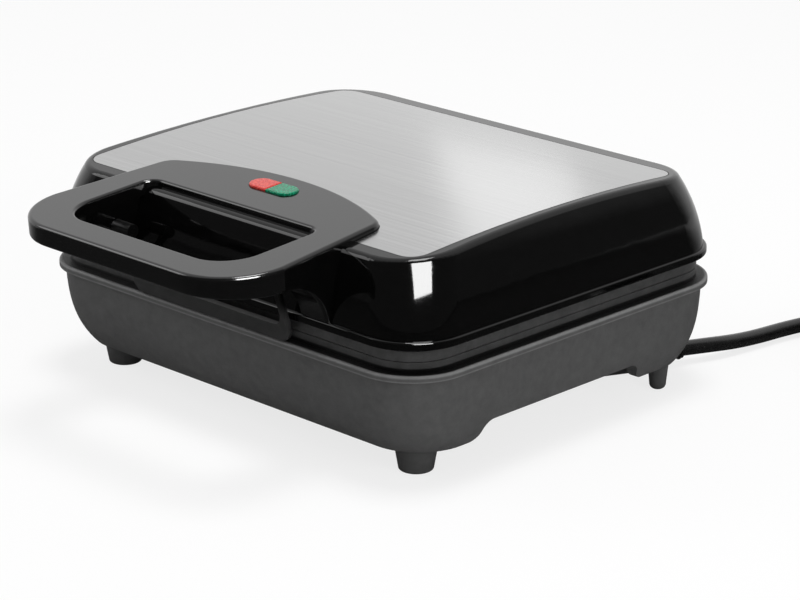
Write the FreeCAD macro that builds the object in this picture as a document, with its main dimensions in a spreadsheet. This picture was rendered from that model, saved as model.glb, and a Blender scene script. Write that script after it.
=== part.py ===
# A clamshell donut maker: a bucket-shaped base on four feet, a lid hinged at the back with an
# overhanging loop handle and a clip latch, two cast plates with ring cavities, and a mains cord.
# X runs along the front edge, Y to the back and Z up from the table, in millimetres. Every piece is
# drawn about the middle of the body and then moved so that the origin is the middle of the footprint.
import FreeCAD, Part
import Sketcher
import math
import os

Vector = FreeCAD.Vector
doc = FreeCAD.newDocument("donut_maker")


# The driving sizes

sizes = {
    "Body": [
        ("body_width", 230.0, "rim to rim, left to right"),
        ("body_depth", 195.0, "rim to rim, front to back"),
        ("rim_corner", 26.0, "corner radius of the rim in plan"),
        ("wall_corner", 23.0, "corner radius of the walls in plan"),
        ("rim_top", 49.0, "top of the base rim above the table"),
        ("rim_height", 2.7, "thickness of the rim lip"),
        ("rim_ledge", 9.0, "width of the rim, from its edge to the opening for the plate"),
        ("rim_edge", 0.9, "rounding of the rim lip"),
        ("lip_step", 2.8, "how far the rim stands out past the wall"),
        ("base_wall", 2.6, "wall of the base"),
        ("belly_height", 33.0, "height where the wall begins to curve in"),
        ("belly_side", 3.2, "inset of the side walls there"),
        ("belly_front", 4.1, "inset of the front wall there"),
        ("belly_back", 3.7, "inset of the back wall there"),
        ("floor_top", 23.0, "inside floor above the table"),
        ("floor_side", 4.5, "inset of the side walls at the floor"),
        ("floor_front", 6.7, "inset of the front wall at the floor"),
        ("floor_back", 5.8, "inset of the back wall at the floor"),
        ("floor_thick", 2.4, "thickness of the floor"),
        ("skirt_bottom", 12.0, "lower edge of the skirt above the table"),
        ("skirt_side", 9.0, "inset of the side walls at the skirt's edge"),
        ("skirt_front", 12.7, "inset of the front wall at the skirt's edge"),
        ("skirt_back", 11.0, "inset of the back wall at the skirt's edge"),
        ("skirt_wall", 3.4, "thickness of the skirt"),
        ("arch_front", 40.5, "front end of the side arches, back from the front edge"),
        ("arch_rear", 48.5, "rear end of the side arches, forward from the back edge"),
        ("arch_slope", 11.0, "run of the arches' sloping ends"),
    ],
    "Feet": [
        ("foot_front_x", 89.3, "front feet, out from the middle"),
        ("foot_front_inset", 27.9, "front feet, back from the front edge"),
        ("foot_front_top", 9.2, "radius of a front foot where it meets the base"),
        ("foot_front_tip", 7.3, "radius of a front foot on the table"),
        ("foot_front_edge", 1.2, "rounding of a front foot's tip"),
        ("foot_rear_x", 99.6, "rear feet, out from the middle"),
        ("foot_rear_inset", 29.3, "rear feet, forward from the back edge"),
        ("foot_rear_top", 4.6, "radius of a rear foot where it meets the base"),
        ("foot_rear_tip", 3.6, "radius of a rear foot near the table"),
        ("foot_rear_edge", 2.4, "rounding of a rear foot's tip"),
        ("foot_boss_rim", 1.0, "how far a foot's boss stands out past it"),
    ],
    "Plates": [
        ("band_inset", 5.0, "edge of the plates, in from the rim"),
        ("seam", 0.3, "gap between the two closed plates"),
        ("lower_band", 4.1, "height of the lower plate's edge"),
        ("cup_columns", 70.0, "spacing of the ring cavities across"),
        ("cup_rows", 78.0, "spacing of the ring cavities front to back"),
        ("ring_radius", 20.0, "middle of the ring cavity"),
        ("ring_depth", 10.5, "radius of the ring cavity's section"),
        ("cup_wall", 2.3, "metal round a cavity"),
        ("band_step", 1.3, "set-back at the top of the upper plate's edge"),
        ("band_step_height", 1.4, "height of that set-back"),
        ("post_inset_x", 23.0, "screw posts, in from the side edge"),
        ("post_inset_y", 25.5, "screw posts, in from the front and back edges"),
        ("post_radius", 4.4, "outside of a screw post"),
        ("screw_radius", 1.6, "screw shank"),
        ("screw_head_radius", 2.8, "screw head"),
        ("screw_head", 2.0, "height of a screw head"),
        ("screw_clear", 0.15, "clearance round a screw"),
        ("screw_bite", 3.0, "how far a screw reaches into its plate"),
        ("screw_seat", 6.0, "metal left under a screw head"),
    ],
    "Heating": [
        ("heater_radius", 3.3, "tubular element"),
        ("heater_half_width", 72.0, "element loop, half its width"),
        ("heater_half_depth", 40.0, "element loop, half its depth"),
        ("heater_corner", 34.0, "corner radius of the element loop"),
        ("heater_gap", 24.0, "gap between the element's two ends"),
        ("heater_clear", 0.2, "gap between the element and the cups"),
        ("pan_inset", 17.0, "reflector edge, in from the rim"),
        ("pan_sheet", 0.8, "reflector sheet"),
        ("pan_depth", 4.0, "height of the reflector's turned-up edge"),
        ("pan_corner", 12.0, "corner radius of the reflector"),
        ("pan_drop", 1.2, "gap between the element and the reflector"),
        ("thermostat_radius", 8.0, "thermostat body"),
        ("thermostat_height", 7.0, "thermostat body"),
        ("thermostat_stem", 3.0, "sensing button above the thermostat body"),
        ("fuse_radius", 2.2, "thermal fuse in its sleeve"),
        ("fuse_length", 24.0, "thermal fuse in its sleeve"),
        ("fuse_clear", 0.2, "gap between the fuse and the plate"),
        ("wire_radius", 1.3, "insulated lead"),
        ("wire_clear", 0.1, "gap between a lead and what it lies on"),
        ("lead_out", 25.0, "leads, straight out of the terminal block"),
        ("lead_side", 45.0, "leads, across to their turn"),
        ("lead_end", 60.0, "leads, forward to their ends"),
        ("lamp_lead_out", 30.0, "lamp leads, straight back from the lamps"),
        ("lamp_lead_side", 12.0, "lamp leads, how far they spread"),
        ("lamp_lead_turn", 60.0, "lamp leads, back to the end of their spread"),
        ("lamp_lead_end", 95.0, "lamp leads, back to their ends"),
    ],
    "Lid": [
        ("lid_bottom", 59.0, "underside of the lid flange above the table"),
        ("flange_height", 3.6, "height of the lid flange"),
        ("flange_step", 0.8, "flange edge, in from the rim"),
        ("flange_edge", 1.0, "rounding of the flange"),
        ("lid_foot", 2.1, "inset of the lid wall at the flange"),
        ("lid_low", 3.2, "inset of the lid wall at the first section"),
        ("lid_mid", 4.9, "inset of the lid wall at the second section"),
        ("lid_high", 7.4, "inset of the lid wall at the third section"),
        ("lid_peak", 12.2, "inset of the lid wall at the apex height"),
        ("lid_low_height", 70.0, "height of the first section"),
        ("lid_mid_height", 78.0, "height of the second section"),
        ("lid_high_height", 86.0, "height of the third section"),
        ("lid_apex", 96.3, "highest point of the arched top"),
        ("lid_arch", 980.0, "radius of the arched top"),
        ("lid_arch_back", 6.0, "apex of the arch, back from the middle"),
        ("lid_shoulder", 3.2, "rounding between the top and the walls"),
        ("lid_wall", 2.4, "wall of the lid"),
        ("lid_ceiling", 87.4, "underside of the lid's top"),
        ("panel_side", 16.5, "steel panel edge, in from the rim at the sides"),
        ("panel_front", 17.0, "steel panel edge, in from the rim at the front"),
        ("panel_back", 20.0, "steel panel edge, in from the rim at the back"),
        ("panel_corner", 8.0, "corner radius of the steel panel"),
        ("panel_sheet", 0.9, "steel panel"),
        ("panel_gap", 0.35, "gap round the steel panel"),
    ],
    "Handle": [
        ("handle_overhang", 53.0, "front of the handle, out from the rim"),
        ("handle_half", 69.6, "half the handle's width at its front corners"),
        ("handle_corner", 28.5, "radius of the front corners"),
        ("handle_rear_half", 64.6, "half the handle's width at its rear corners"),
        ("handle_rear_corner", 29.0, "rear corners, back from the front rim"),
        ("handle_arc_half", 59.8, "half the chord of the rear arc"),
        ("handle_arc_start", 36.0, "ends of the rear arc, back from the front rim"),
        ("handle_arc", 134.8, "radius of the rear arc"),
        ("handle_rear_round", 8.8, "radius of the rear corners"),
        ("handle_tilt", 4.0, "fall of the handle's top towards the front, in degrees"),
        ("handle_drop", 2.2, "handle's top above the front rim, below the lid's apex"),
        ("handle_depth", 12.4, "from there down to the handle's flat underside"),
        ("handle_edge", 1.7, "rounding of the handle's upper edges"),
        ("handle_under_edge", 1.4, "rounding of the handle's lower edges"),
        ("grip_half", 50.5, "half the width of the finger opening"),
        ("grip_front", 37.5, "front of the finger opening, out from the rim"),
        ("grip_back", 13.0, "back of the finger opening, in from the rim"),
        ("grip_front_corner", 17.0, "front corners of the finger opening"),
        ("grip_back_corner", 6.0, "back corners of the finger opening"),
        ("grip_edge", 1.4, "rounding of the finger opening"),
        ("grip_rim", 6.0, "thickness of the handle beside the finger opening"),
        ("cheek_inner", 52.5, "inner face of the cheeks, out from the middle"),
        ("cheek_curve", 23.0, "radius of the concave front of the cheeks"),
        ("lens_back", 35.5, "middle of the lenses, back from the front rim"),
        ("lens_half", 7.5, "straight half length of the pair of lenses"),
        ("lens_radius", 5.1, "rounded ends of the lenses"),
        ("lens_proud", 1.0, "how far the lenses stand up"),
        ("lens_edge", 0.7, "bevel round a lens"),
        ("lens_depth", 2.4, "depth of the lenses in the handle"),
        ("lens_clear", 0.2, "gap round the lenses and between them"),
        ("lamp_radius", 2.0, "indicator lamp"),
        ("lamp_length", 9.0, "indicator lamp"),
        ("lamp_spacing", 6.5, "lamps, out from the middle"),
    ],
    "Latch": [
        ("latch_pivot_out", 5.6, "latch pivot, out from the front rim"),
        ("latch_pivot_drop", 3.9, "latch pivot, below the handle's underside"),
        ("latch_tilt", 12.4, "lean of the closed latch, in degrees"),
        ("latch_length", 29.0, "pivot to the latch's lower edge"),
        ("latch_half", 47.3, "half the latch's width at its lower bar"),
        ("latch_top_half", 45.0, "half the latch's width at its pins"),
        ("latch_bar", 7.4, "height of the lower bar"),
        ("latch_arm", 3.4, "width of the side arms"),
        ("latch_corner", 6.0, "lower corners of the latch"),
        ("latch_window_corner", 5.0, "lower corners of the latch's window"),
        ("latch_thick", 2.4, "thickness of the latch"),
        ("latch_eye", 3.0, "radius of the eyes at the ends of the arms"),
        ("latch_edge", 0.7, "rounding of the latch's edges"),
        ("latch_pin_radius", 1.4, "latch pins"),
        ("latch_side_gap", 0.4, "gap between an eye and a cheek"),
        ("latch_pin_bite", 7.0, "how far a latch pin reaches into a cheek"),
    ],
    "Hinge": [
        ("hinge_back", 4.6, "hinge axis, back from the rear rim"),
        ("hinge_drop", 3.5, "hinge axis, below the lid flange"),
        ("hinge_x", 62.0, "middle of each hinge, out from the middle"),
        ("knuckle_radius", 5.4, "round end of the ears and knuckles"),
        ("knuckle_width", 20.0, "width of a lid knuckle"),
        ("ear_width", 6.0, "width of a base ear"),
        ("ear_gap", 0.4, "side gap between an ear and a knuckle"),
        ("hinge_pin_radius", 2.0, "hinge pin"),
        ("running_clear", 0.06, "radial clearance of the pins"),
    ],
    "Cord": [
        ("cord_radius", 3.4, "mains cord"),
        ("gland_x", 75.3, "cord outlet, out from the middle"),
        ("gland_y", 76.0, "cord outlet, back from the middle"),
        ("gland_height", 6.6, "cord outlet above the table"),
        ("gland_turn", 25.5, "outlet direction, turned from straight back, in degrees"),
        ("relief_length", 26.0, "strain relief"),
        ("relief_radius", 5.0, "strain relief at the outlet"),
        ("relief_tip", 4.2, "strain relief at its thin end"),
        ("boss_width", 15.0, "cable boss under the floor"),
        ("boss_length", 14.0, "cable boss under the floor"),
        ("boss_wall", 0.4, "boss below the strain relief"),
        ("coil_x", 150.5, "middle of the put-away coil"),
        ("coil_y", 186.0, "middle of the put-away coil"),
        ("coil_radius", 41.0, "outer turn of the coil, at the middle of the cord"),
        ("coil_pitch", 7.5, "step from one turn to the next"),
        ("coil_layer", 7.4, "step from one layer to the next"),
        ("coil_lift", 1.1, "coil above the table, room for its tie"),
        ("coil_dip", 1.2, "how far the climbing half turn draws in"),
        ("tie_width", 9.0, "strap round the coil"),
        ("tie_sheet", 0.45, "strap round the coil"),
        ("tie_slack", 0.8, "room beside the coil inside its strap"),
        ("tie_clear", 0.1, "strap above the table"),
        ("plug_half_width", 18.5, "plug face"),
        ("plug_half_height", 13.2, "plug face"),
        ("plug_length", 33.0, "plug body"),
        ("plug_neck", 6.2, "plug's rear end, radius"),
        ("plug_tail", 21.0, "plug's bend relief"),
        ("plug_tail_start", 3.9, "bend relief where the cord goes in, radius"),
        ("plug_round", 0.98, "corners of the plug's round sections, as a share of their radius"),
        ("plug_corner", 11.9, "corners of the plug's face"),
        ("plug_clear", 0.1, "gap between the cord's end and the plug"),
        ("plug_pin_radius", 2.4, "plug pin"),
        ("plug_pin_length", 19.0, "plug pin"),
        ("plug_pin_spacing", 19.0, "plug pins, centre to centre"),
    ],
}

sheet = doc.addObject("Spreadsheet::Sheet", "Size")
row = 0
for group, entries in sizes.items():
    row += 1
    sheet.set(f"A{row}", group)
    for alias, number, note in entries:
        row += 1
        sheet.set(f"A{row}", alias)
        sheet.set(f"B{row}", str(number))
        sheet.setAlias(f"B{row}", alias)
        sheet.set(f"C{row}", note)
doc.recompute()

# Places that several pieces share, as expressions on the sheet
shift_back = ("(Size.handle_overhang * cos(Size.handle_tilt * 1 deg)"
              " - Size.hinge_back - Size.knuckle_radius) / 2")
front_rim = "-Size.body_depth / 2"
rear_rim = "Size.body_depth / 2"
floor_under = "(Size.floor_top - Size.floor_thick)"
rim_under = "(Size.rim_top - Size.rim_height)"
lower_face = "(Size.rim_top + Size.lower_band)"
upper_face = "(Size.rim_top + Size.lower_band + Size.seam)"
cup_radius = "(Size.ring_radius + Size.ring_depth + Size.cup_wall)"
cup_reach = "(Size.ring_depth + Size.cup_wall)"
flange_top = "(Size.lid_bottom + Size.flange_height)"
handle_top = "(Size.lid_apex - Size.handle_drop)"
handle_under = "(Size.lid_apex - Size.handle_drop - Size.handle_depth)"
hinge_y = "(Size.body_depth / 2 + Size.hinge_back)"
hinge_z = "(Size.lid_bottom - Size.hinge_drop)"
pivot_y = "(-Size.body_depth / 2 - Size.latch_pivot_out)"
pivot_z = f"({handle_under} - Size.latch_pivot_drop)"
post_x = "(Size.body_width / 2 - Size.post_inset_x)"
post_y = "(Size.body_depth / 2 - Size.post_inset_y)"
foot_front_y = "(-Size.body_depth / 2 + Size.foot_front_inset)"
foot_rear_y = "(Size.body_depth / 2 - Size.foot_rear_inset)"
lower_heater_z = f"({lower_face} - {cup_reach} - Size.heater_clear - Size.heater_radius)"
upper_heater_z = f"({upper_face} + {cup_reach} + Size.heater_clear + Size.heater_radius)"
lower_pan_z = f"({lower_heater_z} - Size.heater_radius - Size.pan_drop - Size.pan_sheet)"
upper_pan_z = f"({upper_heater_z} + Size.heater_radius + Size.pan_drop)"
apex_y = "Size.lid_arch_back"
far = 400.0
tiny = 1e-6


# Small tools for sketches and features

def value(expression):
    return float(sheet.evalExpression(str(expression)))


def bind(thing, **properties):
    for name, expression in properties.items():
        thing.setExpression(name.replace("__", "."), str(expression))


def set_down(thing, x="0", y="0", z="0"):
    bind(thing, Placement__Base__x=x, Placement__Base__y=f"{y} + {shift_back}", Placement__Base__z=z)
    return thing


def new_body(name):
    return doc.addObject("PartDesign::Body", name)


def origin_plane(body, role):
    return [feature for feature in body.Origin.OriginFeatures if feature.Role == role][0]


def new_sketch(body, name, role="XY_Plane", x="0", y="0", z="0"):
    sketch = body.newObject("Sketcher::SketchObject", name)
    sketch.AttachmentSupport = [(origin_plane(body, role), "")]
    sketch.MapMode = "FlatFace"
    bind(sketch, AttachmentOffset__Base__x=x, AttachmentOffset__Base__y=y, AttachmentOffset__Base__z=z)
    return sketch


def name_constraint(sketch, constraint, name, expression):
    index = sketch.addConstraint(constraint)
    sketch.renameConstraint(index, name)
    sketch.setExpression(f"Constraints.{name}", str(expression))


def hold_point(sketch, geometry, end, x, y, name):
    if str(x) == "0":
        sketch.addConstraint(Sketcher.Constraint("PointOnObject", geometry, end, -2))
    else:
        width = Sketcher.Constraint("DistanceX", -1, 1, geometry, end, value(x))
        name_constraint(sketch, width, f"{name}_x", x)
    if str(y) == "0":
        sketch.addConstraint(Sketcher.Constraint("PointOnObject", geometry, end, -1))
    else:
        height = Sketcher.Constraint("DistanceY", -1, 1, geometry, end, value(y))
        name_constraint(sketch, height, f"{name}_y", y)


def add_circle(sketch, x, y, radius, name="circle"):
    centre = Vector(value(x), value(y), 0)
    index = sketch.addGeometry(Part.Circle(centre, Vector(0, 0, 1), value(radius)), False)
    hold_point(sketch, index, 3, x, y, name)
    name_constraint(sketch, Sketcher.Constraint("Radius", index, value(radius)), f"{name}_r", radius)


def arc_between(start, end, radius, bulge_left):
    chord = end - start
    half = chord.Length / 2
    side = Vector(-chord.y, chord.x, 0).normalize()
    rise = math.sqrt(max(radius * radius - half * half, 0))
    centre = (start + end) * 0.5 + side * (-rise if bulge_left else rise)
    first, last = (end, start) if bulge_left else (start, end)
    begin = math.atan2(first.y - centre.y, first.x - centre.x)
    stop = math.atan2(last.y - centre.y, last.x - centre.x)
    if stop < begin:
        stop += 2 * math.pi
    return Part.ArcOfCircle(Part.Circle(centre, Vector(0, 0, 1), radius), begin, stop)


# A closed outline through bound points; an entry of arcs turns the edge after that point into an arc
# of the given radius, bulging to the left or the right of its direction.
def add_outline(sketch, points, arcs=None, name="p", closed=True):
    arcs = arcs or {}
    places = [Vector(value(x), value(y), 0) for x, y in points]
    count = len(places)
    runs = count if closed else count - 1
    edges = []
    for index in range(runs):
        start = places[index]
        end = places[(index + 1) % count]
        if index in arcs:
            radius, side = arcs[index]
            edges.append(arc_between(start, end, value(radius), side == "left"))
        else:
            edges.append(Part.LineSegment(start, end))
    first = sketch.GeometryCount
    sketch.addGeometry(edges, False)
    ends = []
    for index in range(runs):
        curve = sketch.Geometry[first + index]
        starts_here = (curve.StartPoint - places[index]).Length < (curve.EndPoint - places[index]).Length
        ends.append((1, 2) if starts_here else (2, 1))
    for index in range(count if closed else runs - 1):
        after = (index + 1) % count
        joint = Sketcher.Constraint(
            "Coincident", first + index, ends[index][1], first + after, ends[after][0])
        sketch.addConstraint(joint)
    for index, (x, y) in enumerate(points):
        if index < runs:
            hold_point(sketch, first + index, ends[index][0], x, y, f"{name}{index}")
        else:
            hold_point(sketch, first + runs - 1, ends[runs - 1][1], x, y, f"{name}{index}")
    for index, (radius, side) in arcs.items():
        bow = Sketcher.Constraint("Radius", first + index, value(radius))
        name_constraint(sketch, bow, f"{name}{index}_r", radius)


def add_rounded_rectangle(sketch, width, depth, corner, name="box"):
    x = f"({width}) / 2"
    y = f"({depth}) / 2"
    r = f"({corner})"
    points = [
        (f"-{x} + {r}", f"-{y}"), (f"{x} - {r}", f"-{y}"),
        (x, f"-{y} + {r}"), (x, f"{y} - {r}"),
        (f"{x} - {r}", y), (f"-{x} + {r}", y),
        (f"-{x}", f"{y} - {r}"), (f"-{x}", f"-{y} + {r}"),
    ]
    add_outline(sketch, points, {1: (r, "right"), 3: (r, "right"), 5: (r, "right"), 7: (r, "right")}, name)


def pad(body, sketch, length, reverse=False, both=False):
    feature = body.newObject("PartDesign::Pad", f"{sketch.Name}_pad")
    feature.Profile = sketch
    bind(feature, Length=length)
    feature.Reversed = reverse
    if both:
        feature.SideType = "Symmetric"
    doc.recompute()
    return feature


def pocket(body, sketch, length=None, reverse=False, both=False):
    feature = body.newObject("PartDesign::Pocket", f"{sketch.Name}_cut")
    feature.Profile = sketch
    if length is None:
        feature.Type = "Length"
        feature.Length = far
    else:
        bind(feature, Length=length)
    feature.Reversed = reverse
    if both:
        feature.SideType = "Symmetric"
    doc.recompute()
    return feature


def loft(body, sections, cut=False):
    kind = "PartDesign::SubtractiveLoft" if cut else "PartDesign::AdditiveLoft"
    feature = body.newObject(kind, f"{sections[0].Name}_loft")
    feature.Profile = sections[0]
    feature.Sections = sections[1:]
    doc.recompute()
    return feature


def mirror(body, features, role="YZ_Plane"):
    feature = body.newObject("PartDesign::Mirrored", f"{features[0].Name}_mirror")
    feature.Originals = features
    feature.MirrorPlane = (origin_plane(body, role), [""])
    body.Tip = feature
    doc.recompute()
    return feature


def round_edges(body, radius, test):
    tip = body.Tip
    names = [f"Edge{index}" for index, edge in enumerate(tip.Shape.Edges, 1) if test(edge)]
    feature = body.newObject("PartDesign::Fillet", f"{tip.Name}_round")
    feature.Base = (tip, names)
    bind(feature, Radius=radius)
    doc.recompute()
    return feature


def primitive(kind, name, x="0", y="0", z="0", **properties):
    thing = doc.addObject(f"Part::{kind}", name)
    bind(thing, Placement__Base__x=x, Placement__Base__y=y, Placement__Base__z=z, **properties)
    return thing


def combine(kind, name, base=None, tool=None, pieces=None):
    thing = doc.addObject(f"Part::{kind}", name)
    if pieces:
        if kind == "Compound":
            thing.Links = pieces
        else:
            thing.Shapes = pieces
    else:
        thing.Base = base
        thing.Tool = tool
    doc.recompute()
    return thing


four_corners = [(-1, -1), (1, -1), (1, 1), (-1, 1)]
six_cups = [(column, line) for line in (-1, 1) for column in (-1, 0, 1)]
parts = []


def finish(label, thing):
    thing.Label = label
    parts.append((label, thing))


# The base: a tub that curves in towards its foot, with a rim, a recessed floor and a skirt

def tub_section(body, name, height, side, front, back, thick="0"):
    sketch = new_sketch(body, name, y=f"({front} - {back}) / 2", z=height)
    width = f"Size.body_width - 2 * {side} - 2 * {thick}"
    depth = f"Size.body_depth - {front} - {back} - 2 * {thick}"
    add_rounded_rectangle(sketch, width, depth, f"Size.wall_corner - {thick}")
    return sketch


def make_base_shell():
    body = new_body("base_shell")
    belly = ("Size.belly_height", "Size.belly_side", "Size.belly_front", "Size.belly_back")
    low = ("Size.floor_top", "Size.floor_side", "Size.floor_front", "Size.floor_back")
    skirt = ("Size.skirt_bottom", "Size.skirt_side", "Size.skirt_front", "Size.skirt_back")
    top = (rim_under, "Size.lip_step", "Size.lip_step", "Size.lip_step")
    outside = [tub_section(body, f"tub_{index}", *section)
               for index, section in enumerate([skirt, low, belly, top])]
    loft(body, outside)

    rim = new_sketch(body, "rim", z=rim_under)
    add_rounded_rectangle(rim, "Size.body_width", "Size.body_depth", "Size.rim_corner")
    pad(body, rim, "Size.rim_height")
    half_width = value("Size.body_width") / 2

    def on_rim_edge(edge):
        box = edge.BoundBox
        level = abs(box.ZMin - box.ZMax) < 0.01 and box.ZMin > value(rim_under) - 0.01
        reach = max(abs(box.XMin), abs(box.XMax)) > half_width - value("Size.rim_corner") - 0.01
        wide = abs(edge.valueAt(edge.FirstParameter).x) > half_width - value("Size.rim_corner") - 0.01
        outer = edge.BoundBox.ZMin > value("Size.rim_top") - 0.01
        return level and reach and wide and outer
    round_edges(body, "Size.rim_edge", on_rim_edge)

    inside = [tub_section(body, f"hollow_{index}", *section, thick="Size.base_wall")
              for index, section in enumerate([low, belly, top])]
    loft(body, inside, cut=True)
    opening = new_sketch(body, "plate_opening", z="Size.rim_top")
    add_rounded_rectangle(opening, "Size.body_width - 2 * Size.rim_ledge",
                          "Size.body_depth - 2 * Size.rim_ledge", "Size.rim_corner - Size.rim_ledge")
    pocket(body, opening, "Size.rim_height")

    recess = tub_section(body, "under_recess", *skirt, thick="Size.skirt_wall")
    pocket(body, recess, f"{floor_under} - Size.skirt_bottom", reverse=True)

    arch = new_sketch(body, "side_arch", "YZ_Plane")
    front = f"({front_rim} + Size.arch_front)"
    rear = f"({rear_rim} - Size.arch_rear)"
    below = "(Size.skirt_bottom - 1)"
    half_way = f"(Size.skirt_bottom + {floor_under}) / 2"
    points = [
        (front, below), (rear, below), (rear, "Size.skirt_bottom"),
        (f"{rear} - Size.arch_slope / 2", half_way), (f"{rear} - Size.arch_slope", floor_under),
        (f"{front} + Size.arch_slope", floor_under), (f"{front} + Size.arch_slope / 2", half_way),
        (front, "Size.skirt_bottom"),
    ]
    rise = f"({floor_under} - Size.skirt_bottom)"
    sweep = f"(Size.arch_slope ^ 2 + {rise} ^ 2) / (4 * {rise})"
    bends = {2: (sweep, "left"), 3: (sweep, "right"), 5: (sweep, "right"), 6: (sweep, "left")}
    add_outline(arch, points, bends)
    pocket(body, arch, both=True)

    bosses = new_sketch(body, "foot_bosses", z="Size.skirt_bottom")
    for side in (-1, 1):
        hand = "left" if side < 0 else "right"
        add_circle(bosses, f"{side} * Size.foot_front_x", foot_front_y,
                   "Size.foot_front_top + Size.foot_boss_rim", f"front_{hand}")
        add_circle(bosses, f"{side} * Size.foot_rear_x", foot_rear_y,
                   "Size.foot_rear_top + Size.foot_boss_rim", f"rear_{hand}")
    pad(body, bosses, f"Size.floor_top - Size.floor_thick / 2 - Size.skirt_bottom")

    posts = new_sketch(body, "plate_posts", z=floor_under)
    for index, (across, along) in enumerate(four_corners):
        add_circle(posts, f"{across} * {post_x}", f"{along} * {post_y}", "Size.post_radius", f"post{index}")
    pad(body, posts, f"Size.rim_top - {floor_under}")
    bores = new_sketch(body, "screw_bores", z="Size.rim_top")
    heads = new_sketch(body, "screw_wells", z=floor_under)
    for index, (across, along) in enumerate(four_corners):
        place = (f"{across} * {post_x}", f"{along} * {post_y}")
        add_circle(bores, *place, "Size.screw_radius + Size.screw_clear", f"bore{index}")
        add_circle(heads, *place, "Size.screw_head_radius + Size.screw_clear", f"well{index}")
    pocket(body, bores, f"Size.rim_top - {floor_under} + 1")
    pocket(body, heads, f"Size.rim_top - {floor_under} - Size.screw_seat", reverse=True)

    pan_posts = new_sketch(body, "reflector_posts", z=floor_under)
    for index, (across, along) in enumerate(four_corners):
        add_circle(pan_posts, f"{across} * Size.heater_half_width", f"{along} * Size.heater_half_depth",
                   "Size.post_radius", f"stud{index}")
    pad(body, pan_posts, f"{lower_pan_z} - {floor_under}")

    ear = new_sketch(body, "hinge_ear", "YZ_Plane",
                     z="Size.hinge_x - Size.knuckle_width / 2 - Size.ear_gap - Size.ear_width")
    root = f"({rear_rim} - Size.lip_step - Size.base_wall / 2)"
    points = [
        (root, f"{rim_under} - Size.knuckle_radius"), (f"{hinge_y} + Size.knuckle_radius", hinge_z),
        (hinge_y, f"{hinge_z} + Size.knuckle_radius"), (f"{hinge_y} - Size.knuckle_radius", hinge_z),
        (f"{root} - Size.ear_gap", "Size.rim_top"),
    ]
    add_outline(ear, points, {1: ("Size.knuckle_radius", "right"), 2: ("Size.knuckle_radius", "right")})
    ears = pad(body, ear, "Size.knuckle_width + 2 * Size.ear_gap + 2 * Size.ear_width")
    gap = new_sketch(body, "hinge_gap", "YZ_Plane", z="Size.hinge_x - Size.knuckle_width / 2 - Size.ear_gap")
    clear = "(Size.knuckle_radius + 2 * Size.ear_gap)"
    points = [
        (f"{rear_rim} + Size.running_clear", f"{rim_under} - 2 * {clear}"),
        (f"{hinge_y} + 2 * {clear}", f"{rim_under} - 2 * {clear}"),
        (f"{hinge_y} + 2 * {clear}", f"{hinge_z} + {clear}"),
        (f"{root} - 2 * {clear}", f"{hinge_z} + {clear}"),
        (f"{root} - 2 * {clear}", "Size.rim_top"),
        (f"{rear_rim} + Size.running_clear", "Size.rim_top"),
    ]
    add_outline(gap, points)
    gaps = pocket(body, gap, "Size.knuckle_width + 2 * Size.ear_gap", reverse=True)
    mirror(body, [ears, gaps])
    pin_bore = new_sketch(body, "hinge_bore", "YZ_Plane")
    add_circle(pin_bore, hinge_y, hinge_z, "Size.hinge_pin_radius + Size.running_clear")
    pocket(body, pin_bore, both=True)

    boss = new_sketch(body, "cable_boss", z=floor_under)
    boss.AttachmentOffset = FreeCAD.Placement(Vector(0, 0, 0), FreeCAD.Rotation(Vector(0, 0, 1), 0))
    bind(boss, AttachmentOffset__Base__x="Size.gland_x", AttachmentOffset__Base__y="Size.gland_y",
         AttachmentOffset__Base__z=floor_under, AttachmentOffset__Rotation__Angle="-Size.gland_turn * 1 deg")
    half = "Size.boss_width / 2"
    add_outline(boss, [(f"-{half}", "-Size.boss_length"), (half, "-Size.boss_length"),
                       (half, "0"), (f"-{half}", "0")])
    pad(body, boss, f"{floor_under} - Size.gland_height + Size.relief_radius + Size.boss_wall", reverse=True)
    finish("base_shell", set_down(body))
    return body


def make_feet():
    for end, along in (("front", foot_front_y), ("rear", foot_rear_y)):
        feet = []
        for side, hand in ((-1, "left"), (1, "right")):
            body = new_body(f"{end}_foot_{hand}")
            profile = new_sketch(body, f"{end}_foot_{hand}_profile", "XZ_Plane")
            tip = f"Size.foot_{end}_tip"
            edge = f"Size.foot_{end}_edge"
            points = [("0", "0"), (f"{tip} - {edge}", "0"), (tip, edge),
                      (f"Size.foot_{end}_top", "Size.skirt_bottom"), ("0", "Size.skirt_bottom")]
            add_outline(profile, points, {1: (edge, "right")})
            turned = body.newObject("PartDesign::Revolution", f"{end}_foot_{hand}_turned")
            turned.Profile = profile
            turned.ReferenceAxis = (profile, ["V_Axis"])
            turned.Angle = 360
            bind(body, Placement__Base__x=f"{side} * Size.foot_{end}_x", Placement__Base__y=along)
            doc.recompute()
            feet.append(body)
        finish(f"{end}_feet", set_down(combine("Compound", f"{end}_feet", pieces=feet)))


# The cast plates: a band at the edge, six cups on the back and six ring cavities in the face

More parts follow.
